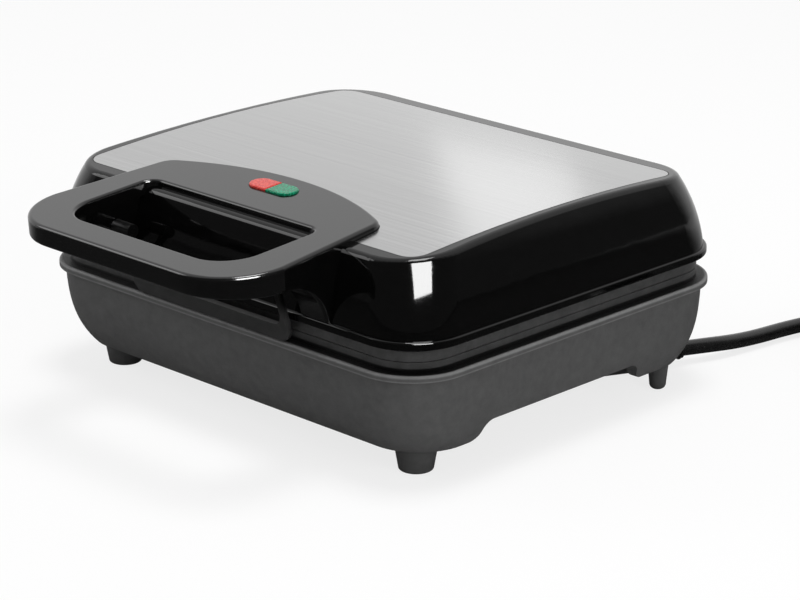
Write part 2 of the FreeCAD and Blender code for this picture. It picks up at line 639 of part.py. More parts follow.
def make_plate(name, face, back, up):
    body = new_body(f"{name}_blank")
    band = new_sketch(body, f"{name}_band", z=face)
    add_rounded_rectangle(band, "Size.body_width - 2 * Size.band_inset",
                          "Size.body_depth - 2 * Size.band_inset", "Size.rim_corner - Size.band_inset")
    height = f"{back} - {face}" if up else f"{face} - {back}"
    if up:
        pad(body, band, f"{height} - Size.band_step_height")
        step = new_sketch(body, f"{name}_step", z=f"{back} - Size.band_step_height")
        inset = "(Size.band_inset + Size.band_step)"
        add_rounded_rectangle(step, f"Size.body_width - 2 * {inset}", f"Size.body_depth - 2 * {inset}",
                              f"Size.rim_corner - {inset}")
        pad(body, step, "Size.band_step_height")
    else:
        pad(body, band, height, reverse=True)
    cups = new_sketch(body, f"{name}_cups", z=f"({face} + {back}) / 2")
    for index, (column, line) in enumerate(six_cups):
        add_circle(cups, f"{column} * Size.cup_columns" if column else "0",
                   f"{line} * Size.cup_rows / 2", cup_radius, f"cup{index}")
    pad(body, cups, f"{cup_reach} - ({height}) / 2", reverse=not up)
    bores = new_sketch(body, f"{name}_bores", z=back)
    for index, (across, along) in enumerate(four_corners):
        add_circle(bores, f"{across} * {post_x}", f"{along} * {post_y}",
                   "Size.screw_radius + Size.screw_clear", f"bore{index}")
    pocket(body, bores, "Size.screw_bite + Size.screw_clear", reverse=not up)
    rings = []
    for index, (column, line) in enumerate(six_cups):
        rings.append(primitive("Torus", f"{name}_ring_{index}", f"{column} * Size.cup_columns",
                               f"{line} * Size.cup_rows / 2", face,
                               Radius1="Size.ring_radius", Radius2="Size.ring_depth"))
    cavities = combine("Compound", f"{name}_cavities", pieces=rings)
    finish(name, set_down(combine("Cut", name, body, cavities)))


def make_screws(name, seat, up):
    screws = []
    for index, (across, along) in enumerate(four_corners):
        place = (f"{across} * {post_x}", f"{along} * {post_y}")
        length = "Size.screw_seat + Size.screw_bite"
        head_z = f"{seat} - Size.screw_head" if up else seat
        shank_z = seat if up else f"{seat} - {length}"
        head = primitive("Cylinder", f"{name}_head_{index}", *place, head_z,
                         Radius="Size.screw_head_radius", Height="Size.screw_head")
        shank = primitive("Cylinder", f"{name}_shank_{index}", *place, shank_z,
                          Radius="Size.screw_radius", Height=length)
        screws.append(combine("Fuse", f"{name}_{index}", head, shank))
    finish(name, set_down(combine("Compound", name, pieces=screws)))


# The heating parts, all hidden inside

def make_heater(name, height):
    body = new_body(name)
    path = new_sketch(body, f"{name}_path", z=height)
    wide, deep = "Size.heater_half_width", "Size.heater_half_depth"
    bend, gap = "Size.heater_corner", "Size.heater_gap / 2"
    points = [
        (gap, deep), (f"{wide} - {bend}", deep), (wide, f"{deep} - {bend}"), (wide, f"-{deep} + {bend}"),
        (f"{wide} - {bend}", f"-{deep}"), (f"-{wide} + {bend}", f"-{deep}"),
        (f"-{wide}", f"-{deep} + {bend}"), (f"-{wide}", f"{deep} - {bend}"),
        (f"-{wide} + {bend}", deep), (f"-{gap}", deep),
    ]
    bends = {index: (bend, "left") for index in (1, 3, 5, 7)}
    add_outline(path, points, bends, closed=False)
    profile = new_sketch(body, f"{name}_profile", "YZ_Plane", z=gap)
    add_circle(profile, deep, height, "Size.heater_radius")
    tube = body.newObject("PartDesign::AdditivePipe", f"{name}_tube")
    tube.Profile = profile
    tube.Spine = path
    doc.recompute()
    finish(name, set_down(body))


def make_reflector(name, height, up):
    body = new_body(name)
    width = "Size.body_width - 2 * Size.pan_inset"
    depth = "Size.body_depth - 2 * Size.pan_inset"
    tray = new_sketch(body, f"{name}_tray", z=height)
    add_rounded_rectangle(tray, width, depth, "Size.pan_corner")
    pad(body, tray, "Size.pan_sheet", reverse=not up)
    edge = new_sketch(body, f"{name}_edge", z=height)
    add_rounded_rectangle(edge, width, depth, "Size.pan_corner", "outer")
    add_rounded_rectangle(edge, f"{width} - 2 * Size.pan_sheet", f"{depth} - 2 * Size.pan_sheet",
                          "Size.pan_corner - Size.pan_sheet", "inner")
    pad(body, edge, "Size.pan_depth", reverse=not up)
    corners = new_sketch(body, f"{name}_corners", z=height)
    for index, (across, along) in enumerate(four_corners):
        add_circle(corners, f"{across} * {post_x}", f"{along} * {post_y}",
                   "Size.post_radius + Size.pan_drop", f"post{index}")
    pocket(body, corners, "2 * Size.pan_depth", both=True)
    finish(name, set_down(body))


def make_controls():
    between = "Size.cup_columns / 2"
    case = primitive("Cylinder", "thermostat_case", between, "0",
                     "Size.rim_top - Size.thermostat_stem - Size.thermostat_height",
                     Radius="Size.thermostat_radius", Height="Size.thermostat_height")
    button = primitive("Cylinder", "thermostat_button", between, "0", "Size.rim_top - Size.thermostat_stem",
                       Radius="Size.thermostat_radius / 2", Height="Size.thermostat_stem")
    finish("thermostat", set_down(combine("Fuse", "thermostat", case, button)))

    fuse = doc.addObject("Part::Cylinder", "thermal_fuse")
    fuse.Placement = FreeCAD.Placement(Vector(0, 0, 0), FreeCAD.Rotation(Vector(1, 0, 0), 90))
    bind(fuse, Radius="Size.fuse_radius", Height="Size.fuse_length")
    finish("thermal_fuse", set_down(fuse, f"-{between}", "Size.fuse_length / 2",
                                    "Size.rim_top - Size.fuse_radius - Size.fuse_clear"))


# The lid: an arched top over walls that lean in, with a flange at the parting line

def lid_section(body, name, height, inset, thick="0"):
    sketch = new_sketch(body, name, z=height)
    add_rounded_rectangle(sketch, f"Size.body_width - 2 * {inset} - 2 * {thick}",
                          f"Size.body_depth - 2 * {inset} - 2 * {thick}",
                          f"Size.rim_corner - Size.lid_foot - {thick}")
    return sketch


def arch_height(reach, drop="0"):
    return (f"Size.lid_apex - Size.lid_arch + sqrt((Size.lid_arch - {drop}) ^ 2"
            f" - ({reach} - {apex_y}) ^ 2)")


def add_arch_region(sketch, drop="0"):
    reach = "Size.body_depth"
    points = [(reach, arch_height(reach, drop)), (f"-{reach}", arch_height(f"-{reach}", drop)),
              (f"-{reach}", "2 * Size.lid_apex"), (reach, "2 * Size.lid_apex")]
    add_outline(sketch, points, {0: (f"Size.lid_arch - {drop}", "right")})


def add_lid_form(body, prefix):
    heights = [("Size.lid_bottom", "Size.lid_foot"), ("Size.lid_low_height", "Size.lid_low"),
               ("Size.lid_mid_height", "Size.lid_mid"), ("Size.lid_high_height", "Size.lid_high"),
               ("Size.lid_apex", "Size.lid_peak")]
    sections = [lid_section(body, f"{prefix}_wall_{index}", height, inset)
                for index, (height, inset) in enumerate(heights)]
    loft(body, sections)
    above = new_sketch(body, f"{prefix}_above", "YZ_Plane")
    add_arch_region(above)
    pocket(body, above, both=True)
    low_rim = value(arch_height("Size.body_depth / 2")) - 1.0

    def on_shoulder(edge):
        return edge.BoundBox.ZMin > low_rim
    round_edges(body, "Size.lid_shoulder", on_shoulder)
    flange = new_sketch(body, f"{prefix}_flange", z="Size.lid_bottom")
    add_rounded_rectangle(flange, "Size.body_width - 2 * Size.flange_step",
                          "Size.body_depth - 2 * Size.flange_step", "Size.rim_corner - Size.flange_step")
    pad(body, flange, "Size.flange_height")
    deep = value("Size.body_depth / 2 - Size.flange_step") - 0.01
    wide = value("Size.body_width / 2 - Size.flange_step") - 0.01

    def on_flange(edge):
        box = edge.BoundBox
        level = abs(box.ZMax - box.ZMin) < 0.01 and box.ZMax < value(flange_top) + 0.01
        edge_line = max(abs(box.YMin), abs(box.YMax)) > deep or max(abs(box.XMin), abs(box.XMax)) > wide
        return level and edge_line
    round_edges(body, "Size.flange_edge", on_flange)


def make_panel_blank(name, grow):
    body = new_body(name)
    outline = new_sketch(body, f"{name}_outline", y="(Size.panel_front - Size.panel_back) / 2",
                         z="Size.lid_ceiling")
    add_rounded_rectangle(outline, f"Size.body_width - 2 * Size.panel_side + 2 * {grow}",
                          f"Size.body_depth - Size.panel_front - Size.panel_back + 2 * {grow}",
                          f"Size.panel_corner + {grow}")
    pad(body, outline, "2 * (Size.lid_apex - Size.lid_ceiling)")
    return body


def cut_lamp_holes(body, name):
    holes = new_sketch(body, name, z="2 * Size.lid_apex")
    for side, hand in ((-1, "left"), (1, "right")):
        add_circle(holes, f"{side} * Size.lamp_spacing", f"{front_rim} + Size.lens_back",
                   "Size.lamp_radius + Size.lens_clear", hand)
    pocket(body, holes)


def make_lid_shell():
    body = new_body("lid_moulding")
    add_lid_form(body, "lid")
    levels = [(flange_top, "Size.lid_foot"), ("Size.lid_low_height", "Size.lid_low"),
              ("Size.lid_mid_height", "Size.lid_mid"), ("Size.lid_ceiling", "Size.lid_high")]
    inside = [lid_section(body, f"lid_hollow_{index}", height, inset, "Size.lid_wall")
              for index, (height, inset) in enumerate(levels)]
    loft(body, inside, cut=True)
    opening = new_sketch(body, "lid_opening", z=flange_top)
    add_rounded_rectangle(opening, "Size.body_width - 2 * Size.rim_ledge",
                          "Size.body_depth - 2 * Size.rim_ledge", "Size.rim_corner - Size.rim_ledge")
    pocket(body, opening, "2 * Size.flange_height")
    posts = new_sketch(body, "lid_posts", z="Size.lid_bottom")
    bores = new_sketch(body, "lid_bores", z="Size.lid_bottom")
    wells = new_sketch(body, "lid_wells", z="Size.lid_bottom + Size.screw_seat")
    studs = new_sketch(body, "lid_studs", z=f"{upper_pan_z} + Size.pan_sheet")
    for index, (across, along) in enumerate(four_corners):
        place = (f"{across} * {post_x}", f"{along} * {post_y}")
        add_circle(posts, *place, "Size.post_radius", f"post{index}")
        add_circle(bores, *place, "Size.screw_radius + Size.screw_clear", f"bore{index}")
        add_circle(wells, *place, "Size.screw_head_radius + Size.screw_clear", f"well{index}")
        add_circle(studs, f"{across} * Size.heater_half_width", f"{along} * Size.heater_half_depth",
                   "Size.post_radius", f"stud{index}")
    pad(body, posts, "Size.lid_ceiling - Size.lid_bottom + 1")
    pad(body, studs, f"Size.lid_ceiling - {upper_pan_z} - Size.pan_sheet + 1")
    pocket(body, bores, "Size.screw_seat + 1", reverse=True)
    pocket(body, wells, "2 * Size.lid_apex", reverse=True)

    knuckle = new_sketch(body, "knuckle", "YZ_Plane", z="Size.hinge_x - Size.knuckle_width / 2")
    root = f"({rear_rim} - Size.lid_foot - Size.lid_wall / 2)"
    points = [
        (root, "Size.lid_bottom"), (f"{hinge_y} - Size.knuckle_radius", hinge_z),
        (hinge_y, f"{hinge_z} - Size.knuckle_radius"), (f"{hinge_y} + Size.knuckle_radius", hinge_z),
        (f"{hinge_y} + Size.knuckle_radius", "Size.lid_bottom"),
        (root, f"{flange_top} + Size.knuckle_radius"),
    ]
    add_outline(knuckle, points, {1: ("Size.knuckle_radius", "right"), 2: ("Size.knuckle_radius", "right")})
    arm = pad(body, knuckle, "Size.knuckle_width")
    mirror(body, [arm])
    pin_bore = new_sketch(body, "knuckle_bore", "YZ_Plane")
    add_circle(pin_bore, hinge_y, hinge_z, "Size.hinge_pin_radius + Size.running_clear")
    pocket(body, pin_bore, both=True)
    cut_lamp_holes(body, "lid_lamp_holes")

    outline = make_panel_blank("panel_recess", "Size.panel_gap")
    notch = handle_plane_sketch(outline, "recess_notch")
    add_handle_outline(notch)
    pocket(outline, notch, both=True)
    above = new_body("panel_recess_space")
    space = new_sketch(above, "panel_recess_arch", "YZ_Plane")
    add_arch_region(space, "Size.panel_sheet")
    pad(above, space, "2 * Size.body_width", both=True)
    recess = combine("Common", "panel_recess_tool", outline, above)
    finish("lid_shell", set_down(combine("Cut", "lid_shell", body, recess)))


# The handle's plan: a wide loop whose rear edge is an arc over the steel panel

def add_handle_outline(sketch, grow="0"):
    half = f"(Size.handle_half + {grow})"
    front = f"(-Size.handle_overhang - {grow})"
    bend = f"(Size.handle_corner + {grow})"
    rear_half = f"(Size.handle_rear_half + {grow})"
    arc_half = f"(Size.handle_arc_half + {grow} / 2)"
    arc_start = f"(Size.handle_arc_start + {grow})"
    rear = "Size.handle_rear_corner"
    points = [
        (f"-{half} + {bend}", front), (f"{half} - {bend}", front), (half, f"{front} + {bend}"),
        (rear_half, rear), (arc_half, arc_start), (f"-{arc_half}", arc_start), (f"-{rear_half}", rear),
        (f"-{half}", f"{front} + {bend}"),
    ]
    round_rear = f"(Size.handle_rear_round + {grow})"
    arcs = {1: (bend, "right"), 3: (round_rear, "right"), 4: (f"Size.handle_arc + {grow}", "right"),
            5: (round_rear, "right"), 7: (bend, "right")}
    add_outline(sketch, points, arcs)


def handle_plane_sketch(body, name):
    sketch = new_sketch(body, name)
    sketch.AttachmentOffset = FreeCAD.Placement(Vector(0, 0, 0), FreeCAD.Rotation(Vector(1, 0, 0), 0.001))
    bind(sketch, AttachmentOffset__Base__y=front_rim, AttachmentOffset__Base__z=handle_top,
         AttachmentOffset__Rotation__Angle="Size.handle_tilt * 1 deg")
    return sketch


def make_steel_panel():
    blank = make_panel_blank("panel_blank", "0")
    above = new_sketch(blank, "panel_top", "YZ_Plane")
    add_arch_region(above)
    pocket(blank, above, both=True)
    notch = handle_plane_sketch(blank, "panel_notch")
    add_handle_outline(notch, "Size.panel_gap")
    pocket(blank, notch, both=True)
    over = new_body("panel_over")
    under = new_sketch(over, "panel_under", "YZ_Plane")
    add_arch_region(under, "Size.panel_sheet")
    pad(over, under, "2 * Size.body_width", both=True)
    finish("steel_panel", set_down(combine("Common", "steel_panel", blank, over)))


def make_handle():
    body = new_body("handle_blank")
    outline = handle_plane_sketch(body, "handle_outline")
    add_handle_outline(outline)
    pad(body, outline, f"{handle_top} - Size.lid_bottom + Size.handle_depth", reverse=True)
    top_level = value(handle_top)
    slope = math.tan(math.radians(value("Size.handle_tilt")))
    rim_y = value(front_rim)

    def on_top(edge):
        ends = [edge.valueAt(edge.FirstParameter), edge.valueAt(edge.LastParameter)]
        return all(abs(end.z - top_level - (end.y - rim_y) * slope) < 0.01 for end in ends)
    round_edges(body, "Size.handle_edge", on_top)

    below = new_sketch(body, "handle_below", "YZ_Plane")
    front = f"({front_rim} - 2 * Size.handle_overhang)"
    cheek_foot = f"({front_rim} + Size.flange_step - Size.lens_clear)"
    fall = f"({handle_under} - {flange_top})"
    run_out = f"sqrt(Size.cheek_curve ^ 2 - (Size.cheek_curve - {fall}) ^ 2)"
    points = [
        (front, handle_under), (f"{cheek_foot} - {run_out}", handle_under), (cheek_foot, flange_top),
        ("0", flange_top), ("0", "-Size.lid_apex"), (front, "-Size.lid_apex"),
    ]
    add_outline(below, points, {1: ("Size.cheek_curve", "left")})
    pocket(body, below, both=True)
    under_level = value(handle_under)
    reach = value("Size.handle_overhang")

    def on_underside(edge):
        box = edge.BoundBox
        flat = abs(box.ZMax - under_level) < 0.01 and abs(box.ZMin - under_level) < 0.01
        outside = min(abs(box.XMin), abs(box.XMax)) > value("Size.cheek_inner")
        curved = outside and not flat and box.ZMax < under_level + 0.01 and box.YMax < rim_y + 1
        return curved or (flat and box.YMin < rim_y - reach / 2)
    round_edges(body, "Size.handle_under_edge", on_underside)

    between = new_sketch(body, "between_cheeks", "YZ_Plane")
    add_outline(between, [(front, "0"), ("0", "0"), ("0", handle_under), (front, handle_under)])
    pocket(body, between, "2 * Size.cheek_inner", both=True)
    grip = handle_plane_sketch(body, "finger_opening")
    half, ahead, behind = "Size.grip_half", "-Size.grip_front", "Size.grip_back"
    big, small = "Size.grip_front_corner", "Size.grip_back_corner"
    points = [
        (f"-{half} + {big}", ahead), (f"{half} - {big}", ahead), (half, f"{ahead} + {big}"),
        (half, f"{behind} - {small}"), (f"{half} - {small}", behind), (f"-{half} + {small}", behind),
        (f"-{half}", f"{behind} - {small}"), (f"-{half}", f"{ahead} + {big}"),
    ]
    bends = {1: (big, "right"), 3: (small, "right"), 5: (small, "right"), 7: (big, "right")}
    add_outline(grip, points, bends)
    pocket(body, grip, both=True)
    grip_half = value(half) + 0.01

    def on_grip(edge):
        box = edge.BoundBox
        inside = max(abs(box.XMin), abs(box.XMax)) < grip_half and box.YMax < rim_y + value(behind) + 0.01
        return inside and on_top(edge)
    round_edges(body, "Size.grip_edge", on_grip)
    relief = new_sketch(body, "grip_relief", "YZ_Plane")
    ahead = f"({front_rim} - Size.grip_front + Size.grip_front_corner)"
    behind = f"({front_rim} + Size.grip_back)"
    points = [(y, f"{handle_top} - Size.grip_rim + ({y} - {front_rim}) * tan(Size.handle_tilt * 1 deg)")
              for y in (behind, ahead)]
    points += [(ahead, "Size.lid_bottom"), (behind, "Size.lid_bottom")]
    add_outline(relief, points)
    pocket(body, relief, "2 * Size.cheek_inner", both=True)
    seat = handle_plane_sketch(body, "lens_seat")
    add_lens_outline(seat, "Size.lens_clear", whole=True)
    pocket(body, seat, "Size.lens_depth")
    cut_lamp_holes(body, "handle_lamp_holes")
    pin_bore = new_sketch(body, "latch_pin_bore", "YZ_Plane")
    add_circle(pin_bore, pivot_y, pivot_z, "Size.latch_pin_radius + Size.running_clear")
    pocket(body, pin_bore, "2 * (Size.cheek_inner + Size.latch_pin_bite + Size.lens_clear)", both=True)
    lid = new_body("lid_outside")
    add_lid_form(lid, "lid_outside")
    whole = combine("Cut", "handle_whole", body, lid)
    side = primitive("Box", "handle_side", Length="Size.body_width", Width="2 * Size.body_width",
                     Height="2 * Size.lid_apex")
    bind(side, Placement__Base__y="-Size.body_width")
    right = combine("Common", "handle_right", whole, side)
    left = doc.addObject("Part::Mirroring", "handle_left")
    left.Source = right
    left.Normal = Vector(1, 0, 0)
    doc.recompute()
    joined = combine("Fuse", "handle", right, left)
    joined.Refine = True
    finish("handle", set_down(joined))


# A pill of two lenses, red on the left and green on the right

def add_lens_outline(sketch, grow="0", whole=False):
    middle = "Size.lens_back"
    radius = f"(Size.lens_radius + {grow})"
    straight = "Size.lens_half"
    end = f"({straight} + {radius})"
    right = [(straight, f"{middle} - {radius}"), (end, middle), (straight, f"{middle} + {radius}")]
    if whole:
        left = [(f"-{x}", y) for x, y in reversed(right)]
        points = right + left
        arcs = {0: (radius, "right"), 1: (radius, "right"), 3: (radius, "right"), 4: (radius, "right")}
    else:
        points = [("Size.lens_clear / 2", f"{middle} - {radius}"), *right,
                  ("Size.lens_clear / 2", f"{middle} + {radius}")]
        arcs = {1: (radius, "right"), 2: (radius, "right")}
    add_outline(sketch, points, arcs)


def make_lenses():
    for label, side in (("green_lens", 1), ("red_lens", -1)):
        body = new_body(f"{label}_right" if side < 0 else label)
        top = handle_plane_sketch(body, f"{label}_outline")
        add_lens_outline(top)
        pad(body, top, "Size.lens_proud")
        level = value(handle_top)
        slope = math.tan(math.radians(value("Size.handle_tilt")))
        start = value(front_rim)

        def on_crown(edge):
            ends = [edge.valueAt(edge.FirstParameter), edge.valueAt(edge.LastParameter)]
            return all(end.z - level - (end.y - start) * slope > value("Size.lens_proud") / 2 for end in ends)
        round_edges(body, "Size.lens_edge", on_crown)
        stem = handle_plane_sketch(body, f"{label}_stem")
        add_lens_outline(stem)
        pad(body, stem, "Size.lens_depth", reverse=True)
        if side < 0:
            flipped = doc.addObject("Part::Mirroring", label)
            flipped.Source = body
            flipped.Base = Vector(0, 0, 0)
            flipped.Normal = Vector(1, 0, 0)
            doc.recompute()
            finish(label, set_down(flipped))
        else:
            finish(label, set_down(body))


def make_lamps():
    lens_y = f"({front_rim} + Size.lens_back)"
    top = f"(Size.lid_ceiling + Size.lens_depth)"
    bulbs = []
    for side, hand in ((-1, "left"), (1, "right")):
        bulbs.append(primitive("Cylinder", f"lamp_{hand}", f"{side} * Size.lamp_spacing", lens_y,
                               f"{top} - Size.lamp_length", Radius="Size.lamp_radius",
                               Height="Size.lamp_length"))
    finish("indicator_lamps", set_down(combine("Compound", "indicator_lamps", pieces=bulbs)))
    body = new_body("lamp_holder")
    plate = new_sketch(body, "holder_plate", z="Size.lid_ceiling")
    width = "4 * Size.lamp_spacing"
    add_rounded_rectangle(plate, width, "6 * Size.lamp_radius", "Size.lamp_radius", "edge")
    for side, hand in ((-1, "left"), (1, "right")):
        add_circle(plate, f"{side} * Size.lamp_spacing", "0", "Size.lamp_radius + Size.lens_clear", hand)
    bind(plate, AttachmentOffset__Base__y=lens_y)
    pad(body, plate, "Size.lamp_length / 2", reverse=True)
    finish("lamp_holder", set_down(body))


# The latch: a flat clip with two arms, hung on pins between the handle's cheeks

def make_latch():
    body = new_body("latch")
    outline = new_sketch(body, "latch_outline", "XZ_Plane")
    low = "-Size.latch_length"
    half, top_half, bend = "Size.latch_half", "Size.latch_top_half", "Size.latch_corner"
    shoulder = f"{low} + {bend} + Size.latch_bar / 2"
    points = [
        (f"-{half} + {bend}", low), (f"{half} - {bend}", low), (half, f"{low} + {bend}"), (half, shoulder),
        (top_half, "0"), (f"-{top_half}", "0"), (f"-{half}", shoulder), (f"-{half}", f"{low} + {bend}"),
    ]
    add_outline(outline, points, {1: (bend, "right"), 7: (bend, "right")})
    pad(body, outline, "Size.latch_thick", both=True)
    thick = value("Size.latch_thick") / 2

    def on_face(edge):
        box = edge.BoundBox
        flat = abs(box.YMax - box.YMin) < 0.01 and abs(abs(box.YMax) - thick) < 0.01
        return flat and box.ZMin < -value("Size.latch_eye")
    round_edges(body, "Size.latch_edge", on_face)

    window = new_sketch(body, "latch_window", "XZ_Plane")
    inner, inner_top = "(Size.latch_half - Size.latch_arm)", "(Size.latch_top_half - Size.latch_arm)"
    corner = "Size.latch_window_corner"
    bottom = f"({low} + Size.latch_bar)"
    points = [
        (f"-{inner} + {corner}", bottom), (f"{inner} - {corner}", bottom), (inner, f"{bottom} + {corner}"),
        (inner_top, "Size.latch_eye"), (f"-{inner_top}", "Size.latch_eye"),
        (f"-{inner}", f"{bottom} + {corner}"),
    ]
    add_outline(window, points, {1: (corner, "right"), 5: (corner, "right")})
    pocket(body, window, both=True)
    eye = new_sketch(body, "latch_eye", "YZ_Plane", z=inner_top)
    add_circle(eye, "0", "0", "Size.latch_eye")
    barrel = pad(body, eye, f"Size.cheek_inner - Size.latch_side_gap - {inner_top}")
    mirror(body, [barrel])
    bore = new_sketch(body, "latch_bore", "YZ_Plane")
    add_circle(bore, "0", "0", "Size.latch_pin_radius + Size.running_clear")
    pocket(body, bore, both=True)
    body.Placement = FreeCAD.Placement(Vector(0, 0, 0), FreeCAD.Rotation(Vector(1, 0, 0), 0.001))
    bind(body, Placement__Rotation__Angle="Size.latch_tilt * 1 deg")
    finish("latch", set_down(body, "0", pivot_y, pivot_z))


def make_pin(label, radius, length, x, y, z):
    pin = doc.addObject("Part::Cylinder", label)
    pin.Placement = FreeCAD.Placement(Vector(0, 0, 0), FreeCAD.Rotation(Vector(0, 1, 0), 90))
    bind(pin, Radius=radius, Height=length, Placement__Base__x=x, Placement__Base__y=y, Placement__Base__z=z)
    return pin


def make_pins():
    start = "(Size.latch_top_half - Size.latch_arm)"
    length = f"(Size.cheek_inner + Size.latch_pin_bite - {start})"
    radius = "Size.latch_pin_radius"
    pins = [make_pin("latch_pin_left", radius, length, f"-{start} - {length}", pivot_y, pivot_z),
            make_pin("latch_pin_right", radius, length, start, pivot_y, pivot_z)]
    finish("latch_pins", set_down(combine("Compound", "latch_pins", pieces=pins)))
    span = "(Size.knuckle_width + 2 * Size.ear_gap + 2 * Size.ear_width)"
    pins = [make_pin(f"hinge_pin_{hand}", "Size.hinge_pin_radius", span,
                     f"{side} * Size.hinge_x - {span} / 2", hinge_y, hinge_z)
            for side, hand in ((-1, "left"), (1, "right"))]
    finish("hinge_pins", set_down(combine("Compound", "hinge_pins", pieces=pins)))


# Tubes: straight runs joined by tangent arcs, each arc as large as its runs allow

def arc_edge(start, corner, end):
    middle = (start + end) * 0.5
    half = (end - start).Length / 2
    rise = corner - middle
    if rise.Length < tiny:
        return Part.LineSegment(start, end).toShape()
    turn = math.acos(min(1.0, half / (corner - start).Length))
    crown = middle + rise.normalize() * (half * math.tan(turn / 2))
    return Part.Arc(start, crown, end).toShape()


run_share = 0.45


def rounded_path(points, report=None):
    edges = []
    here = points[0]
    for before, corner, after in zip(points, points[1:], points[2:]):
        back = before - corner
        onward = after - corner
        trim = run_share * min(back.Length, onward.Length)
        start = corner + Vector(back).normalize() * trim
        end = corner + Vector(onward).normalize() * trim
        edges.append(Part.LineSegment(here, start).toShape())
        edges.append(arc_edge(start, corner, end))
        if report is not None:
            turn = math.pi - back.getAngle(onward)
            report.append(round(trim / math.tan(turn / 2), 1))
        here = end
    edges.append(Part.LineSegment(here, points[-1]).toShape())
    return Part.Wire(edges)


def swept_tube(path, start, direction, radius):
    ring = Part.Wire([Part.Circle(start, direction, radius).toShape()])
    return path.makePipeShell([ring], True, False)


def feature_from(label, shape):
    thing = doc.addObject("Part::Feature", label)
    thing.Shape = shape
    set_down(thing)
    finish(label, thing)
    return thing


def gland_direction():
    turn = math.radians(value("Size.gland_turn"))
    return Vector(math.sin(turn), math.cos(turn), 0)


def make_strain_relief():
    relief = doc.addObject("Part::Cone", "strain_relief")
    turn = FreeCAD.Rotation(Vector(0, 0, 1), gland_direction())
    relief.Placement = FreeCAD.Placement(Vector(0, 0, 0), turn)
    bind(relief, Radius1="Size.relief_radius", Radius2="Size.relief_tip", Height="Size.relief_length")
    finish("strain_relief", set_down(relief, "Size.gland_x", "Size.gland_y", "Size.gland_height"))


# The put-away coil winds clockwise: in on the first layer, up, and out on the second

coil_entry = 160.0
coil_turn_in = 540.0
coil_turn_climb = 180.0
coil_turn_out = 520.0
coil_step = 90.0


def coil_point(turned):
    lift = value("Size.cord_radius + Size.coil_lift")
    pitch = value("Size.coil_pitch") / 360.0
    outer = value("Size.coil_radius")
    inner = outer - pitch * coil_turn_in
    layer = value("Size.coil_layer")
    plug_rise = value("Size.plug_half_height") - lift - layer
    total = coil_turn_in + coil_turn_climb + coil_turn_out
    if turned <= coil_turn_in:
        radius, height = outer - pitch * turned, 0.0
    elif turned <= coil_turn_in + coil_turn_climb:
        share = (turned - coil_turn_in) / coil_turn_climb
        radius = inner - value("Size.coil_dip") * math.sin(math.pi * share)
        height = layer * (0.5 - 0.5 * math.cos(math.pi * share))
    else:
        radius = inner + pitch * (turned - coil_turn_in - coil_turn_climb)
        left = max(0.0, 1.0 - (total - turned) / coil_step)
        height = layer + plug_rise * (0.5 - 0.5 * math.cos(math.pi * left))
    angle = math.radians(coil_entry - turned)
    return Vector(value("Size.coil_x") + radius * math.cos(angle),
                  value("Size.coil_y") + radius * math.sin(angle), lift + height)


def coil_heading(turned):
    small = 0.5
    total = coil_turn_in + coil_turn_climb + coil_turn_out
    if turned >= total:
        return Vector(0, -1, 0)
    if turned <= 0:
        angle = math.radians(coil_entry)
        return Vector(math.sin(angle), -math.cos(angle), 0)
    return (coil_point(turned + small) - coil_point(turned - small)).normalize()


def biarc(start, leave, end, arrive):
    gap = end - start
    along = leave + arrive
    spread = 2 * (1 - leave.dot(arrive))
    if spread < tiny:
        reach = gap.dot(gap) / (2 * gap.dot(along))
    else:
        reach = (-gap.dot(along) + math.sqrt(gap.dot(along) ** 2 + spread * gap.dot(gap))) / spread
    first = start + leave * reach
    last = end - arrive * reach
    joint = (first + last) * 0.5
    return [arc_edge(start, first, joint), arc_edge(joint, last, end)]


def least_gap(edges, radius):
    spots = []
    travelled = 0.0
    for edge in edges:
        for spot in edge.discretize(24)[:-1]:
            spots.append((travelled + (spot - edge.valueAt(edge.FirstParameter)).Length, spot))
        travelled += edge.Length
    least = far
    for index, (here, place) in enumerate(spots):
        for there, other in spots[index + 1:]:
            if there - here > 20 * radius:
                least = min(least, (other - place).Length)
    return least - 2 * radius


def make_cord():
    radius = value("Size.cord_radius")
    outlet = Vector(value("Size.gland_x"), value("Size.gland_y"), value("Size.gland_height"))
    leave = outlet + gland_direction() * value("Size.relief_length")
    floor = radius + value("Size.coil_lift")
    enter = coil_point(0)
    heading = coil_heading(0)
    straight = heading * (2 * radius)
    run = 14.0
    route = [
        leave,
        leave + gland_direction() * run,
        Vector(95.4, 126.5, 5.2),
        Vector(97.4, 141.0, floor),
        Vector(99.3, 156.0, floor),
        Vector(102.6, 170.5, floor),
        enter - straight - heading * run,
        enter - straight,
    ]
    radii = []
    path = rounded_path(route, radii)
    print("cord radii", radii, "length", round(path.Length, 1))
    tube = swept_tube(path, leave, gland_direction(), radius)
    feature_from("cord", tube)

    total = coil_turn_in + coil_turn_climb + coil_turn_out
    steps = [coil_step * index for index in range(int(total // coil_step) + 1)]
    steps.append(total)
    edges = [Part.LineSegment(enter - straight, enter).toShape()]
    for begin, stop in zip(steps, steps[1:]):
        edges += biarc(coil_point(begin), coil_heading(begin), coil_point(stop), coil_heading(stop))
    end = coil_point(total)
    tail = end + coil_heading(total) * (2 * radius)
    edges.append(Part.LineSegment(end, tail).toShape())
    coil_path = Part.Wire(edges)
    coil = swept_tube(coil_path, enter - straight, heading, radius)
    print("coil length", round(coil_path.Length, 1), "least gap", round(least_gap(edges, radius), 2))
    feature_from("cord_coil", coil)
    return tail


